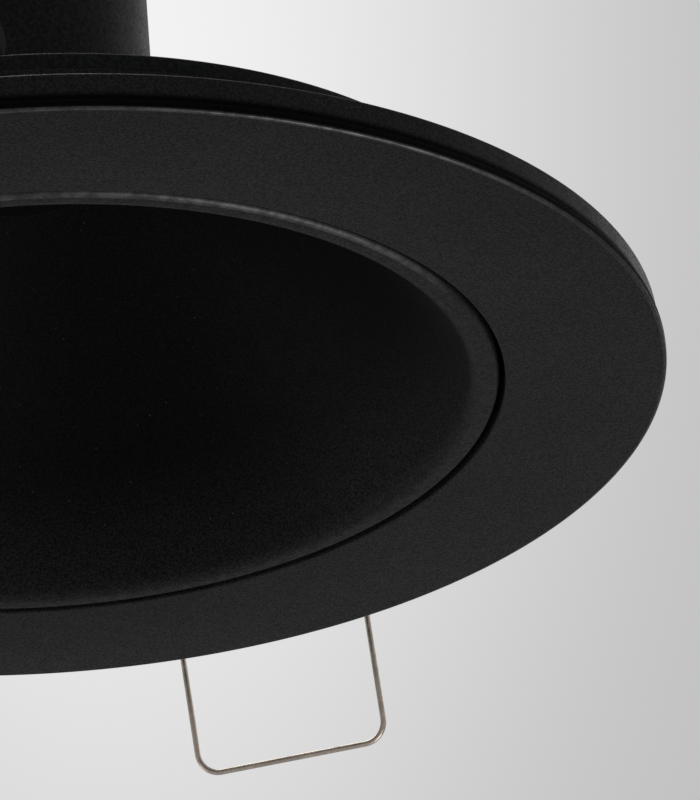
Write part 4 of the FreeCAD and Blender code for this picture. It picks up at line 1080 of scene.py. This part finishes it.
class StageOperator(bpy.types.Operator):
    """Adds the camera, the floor, the lamps and the pale surroundings"""
    bl_idname = "downlight.stage"
    bl_label = "Stage"

    def execute(self, context):
        self.camera(context.scene)
        self.floor()
        self.surroundings(context.scene)
        for lamp in LAMPS:
            self.lamp(*lamp)
        context.scene.view_settings.view_transform = "Standard"
        return {"FINISHED"}

    def camera(self, scene):
        data = bpy.data.cameras.new("camera")
        data.lens = CAMERA_LENS
        data.sensor_width = 36.0
        data.clip_start = 0.01
        data.clip_end = 50.0
        camera = bpy.data.objects.new("camera", data)
        scene.collection.objects.link(camera)
        camera.location = CAMERA_PLACE
        camera.rotation_euler = [math.radians(a) for a in CAMERA_TURN]
        scene.camera = camera

    def floor(self):
        floor = add("grid", "floor", x_subdivisions=2, y_subdivisions=2, size=9.0,
                    location=(0, 0, FLOOR_Z))
        material = bpy.data.materials.new("studio_floor")
        f = Finish(material)
        grain = f.noise(0.006, 4.0)
        base = f.tint(colours().floor, f.ramp(grain, 0.3, 0.7, 0.985, 1.015))
        shader = f.node("BsdfPrincipled", sockets={
            "Base Color": base, "Roughness": 0.7, "Specular IOR Level": 0.2,
            "Normal": f.bump(grain, 0.0002)})
        under = f.node("NewGeometry", output="Backfacing")
        gone = under.maths("MAXIMUM", under, f.ramp(f.radius(), 0.7, 2.0))
        f.output(f.node("MixShader", sockets={0: gone, 1: shader, 2: f.node("BsdfTransparent")}))
        floor.data.materials.append(material)

    def surroundings(self, scene):
        """A pale wall of light, with a brighter glow at the upper left of what the camera sees."""
        camera = scene.camera
        bpy.context.view_layer.update()
        turn = camera.matrix_world.to_3x3()
        right, up = turn.col[0], turn.col[1]
        scene.world = bpy.data.worlds.new("studio")
        f = Finish(scene.world)
        towards = f.node("TexCoord", output="Generated")
        glow_right, glow_up, glow_reach, glow_squash = -0.0343, 0.0412, 0.1, 0.5

        def along(direction):
            return f.node("VectorMath", {"operation": "DOT_PRODUCT"}, {0: towards, 1: tuple(direction)},
                          output="Value")

        across = along(right) - glow_right
        height = (along(up) - glow_up) * glow_squash
        distance = (across ** 2 + height ** 2) ** 0.5
        shade = f.ramp(distance, 0.0, glow_reach)
        seen = f.mix(opaque(tone(243, 243, 243)), opaque(tone(194, 194, 194)), shade)
        pale = f.node("Background", sockets={"Color": seen, "Strength": 1.0})
        soft = f.node("Background", sockets={"Color": opaque(tone(194, 195, 197)), "Strength": 0.92})
        shown = f.node("LightPath", output="Is Camera Ray")
        for kind in ("Is Glossy Ray", "Is Transmission Ray"):
            shown = shown.maths("MAXIMUM", shown, f.node("LightPath", output=kind))
        f.output(f.node("MixShader", sockets={0: shown, 1: soft, 2: pale}), "World")

    def lamp(self, name, place, size, power):
        data = bpy.data.lights.new(name, "AREA")
        data.shape = "DISK"
        data.size = size
        data.energy = power
        lamp = bpy.data.objects.new(name, data)
        bpy.context.scene.collection.objects.link(lamp)
        lamp.location = place
        lamp.rotation_euler = Vector(place).to_track_quat("Z", "Y").to_euler()
        lamp.visible_camera = False


STEPS = (FinishesOperator, TrimOperator, BaffleOperator, HousingOperator, CapOperator, GlandOperator,
         SpringsOperator, BracketsOperator, StageOperator)


class DownlightPanel(bpy.types.Panel):
    """Lists the downlight's pieces"""
    bl_idname = "VIEW3D_PT_downlight"
    bl_label = "Downlight"
    bl_space_type = "VIEW_3D"
    bl_region_type = "UI"
    bl_category = "Downlight"

    def draw(self, context):
        for step in STEPS:
            self.layout.operator(step.bl_idname)
        for group in (context.scene.downlight_sizes, context.scene.downlight_colours):
            box = self.layout.box()
            for name in group.__annotations__:
                box.prop(group, name)


CLASSES = (DownlightSizes, DownlightColours, *STEPS, DownlightPanel)


def register():
    for each in CLASSES:
        bpy.utils.register_class(each)
    bpy.types.Scene.downlight_sizes = bpy.props.PointerProperty(type=DownlightSizes)
    bpy.types.Scene.downlight_colours = bpy.props.PointerProperty(type=DownlightColours)


def unregister():
    del bpy.types.Scene.downlight_colours
    del bpy.types.Scene.downlight_sizes
    for each in reversed(CLASSES):
        bpy.utils.unregister_class(each)


def main():
    register()
    for step in STEPS:
        group, name = step.bl_idname.split(".")
        getattr(getattr(bpy.ops, group), name)()


if __name__ == "__main__":
    main()
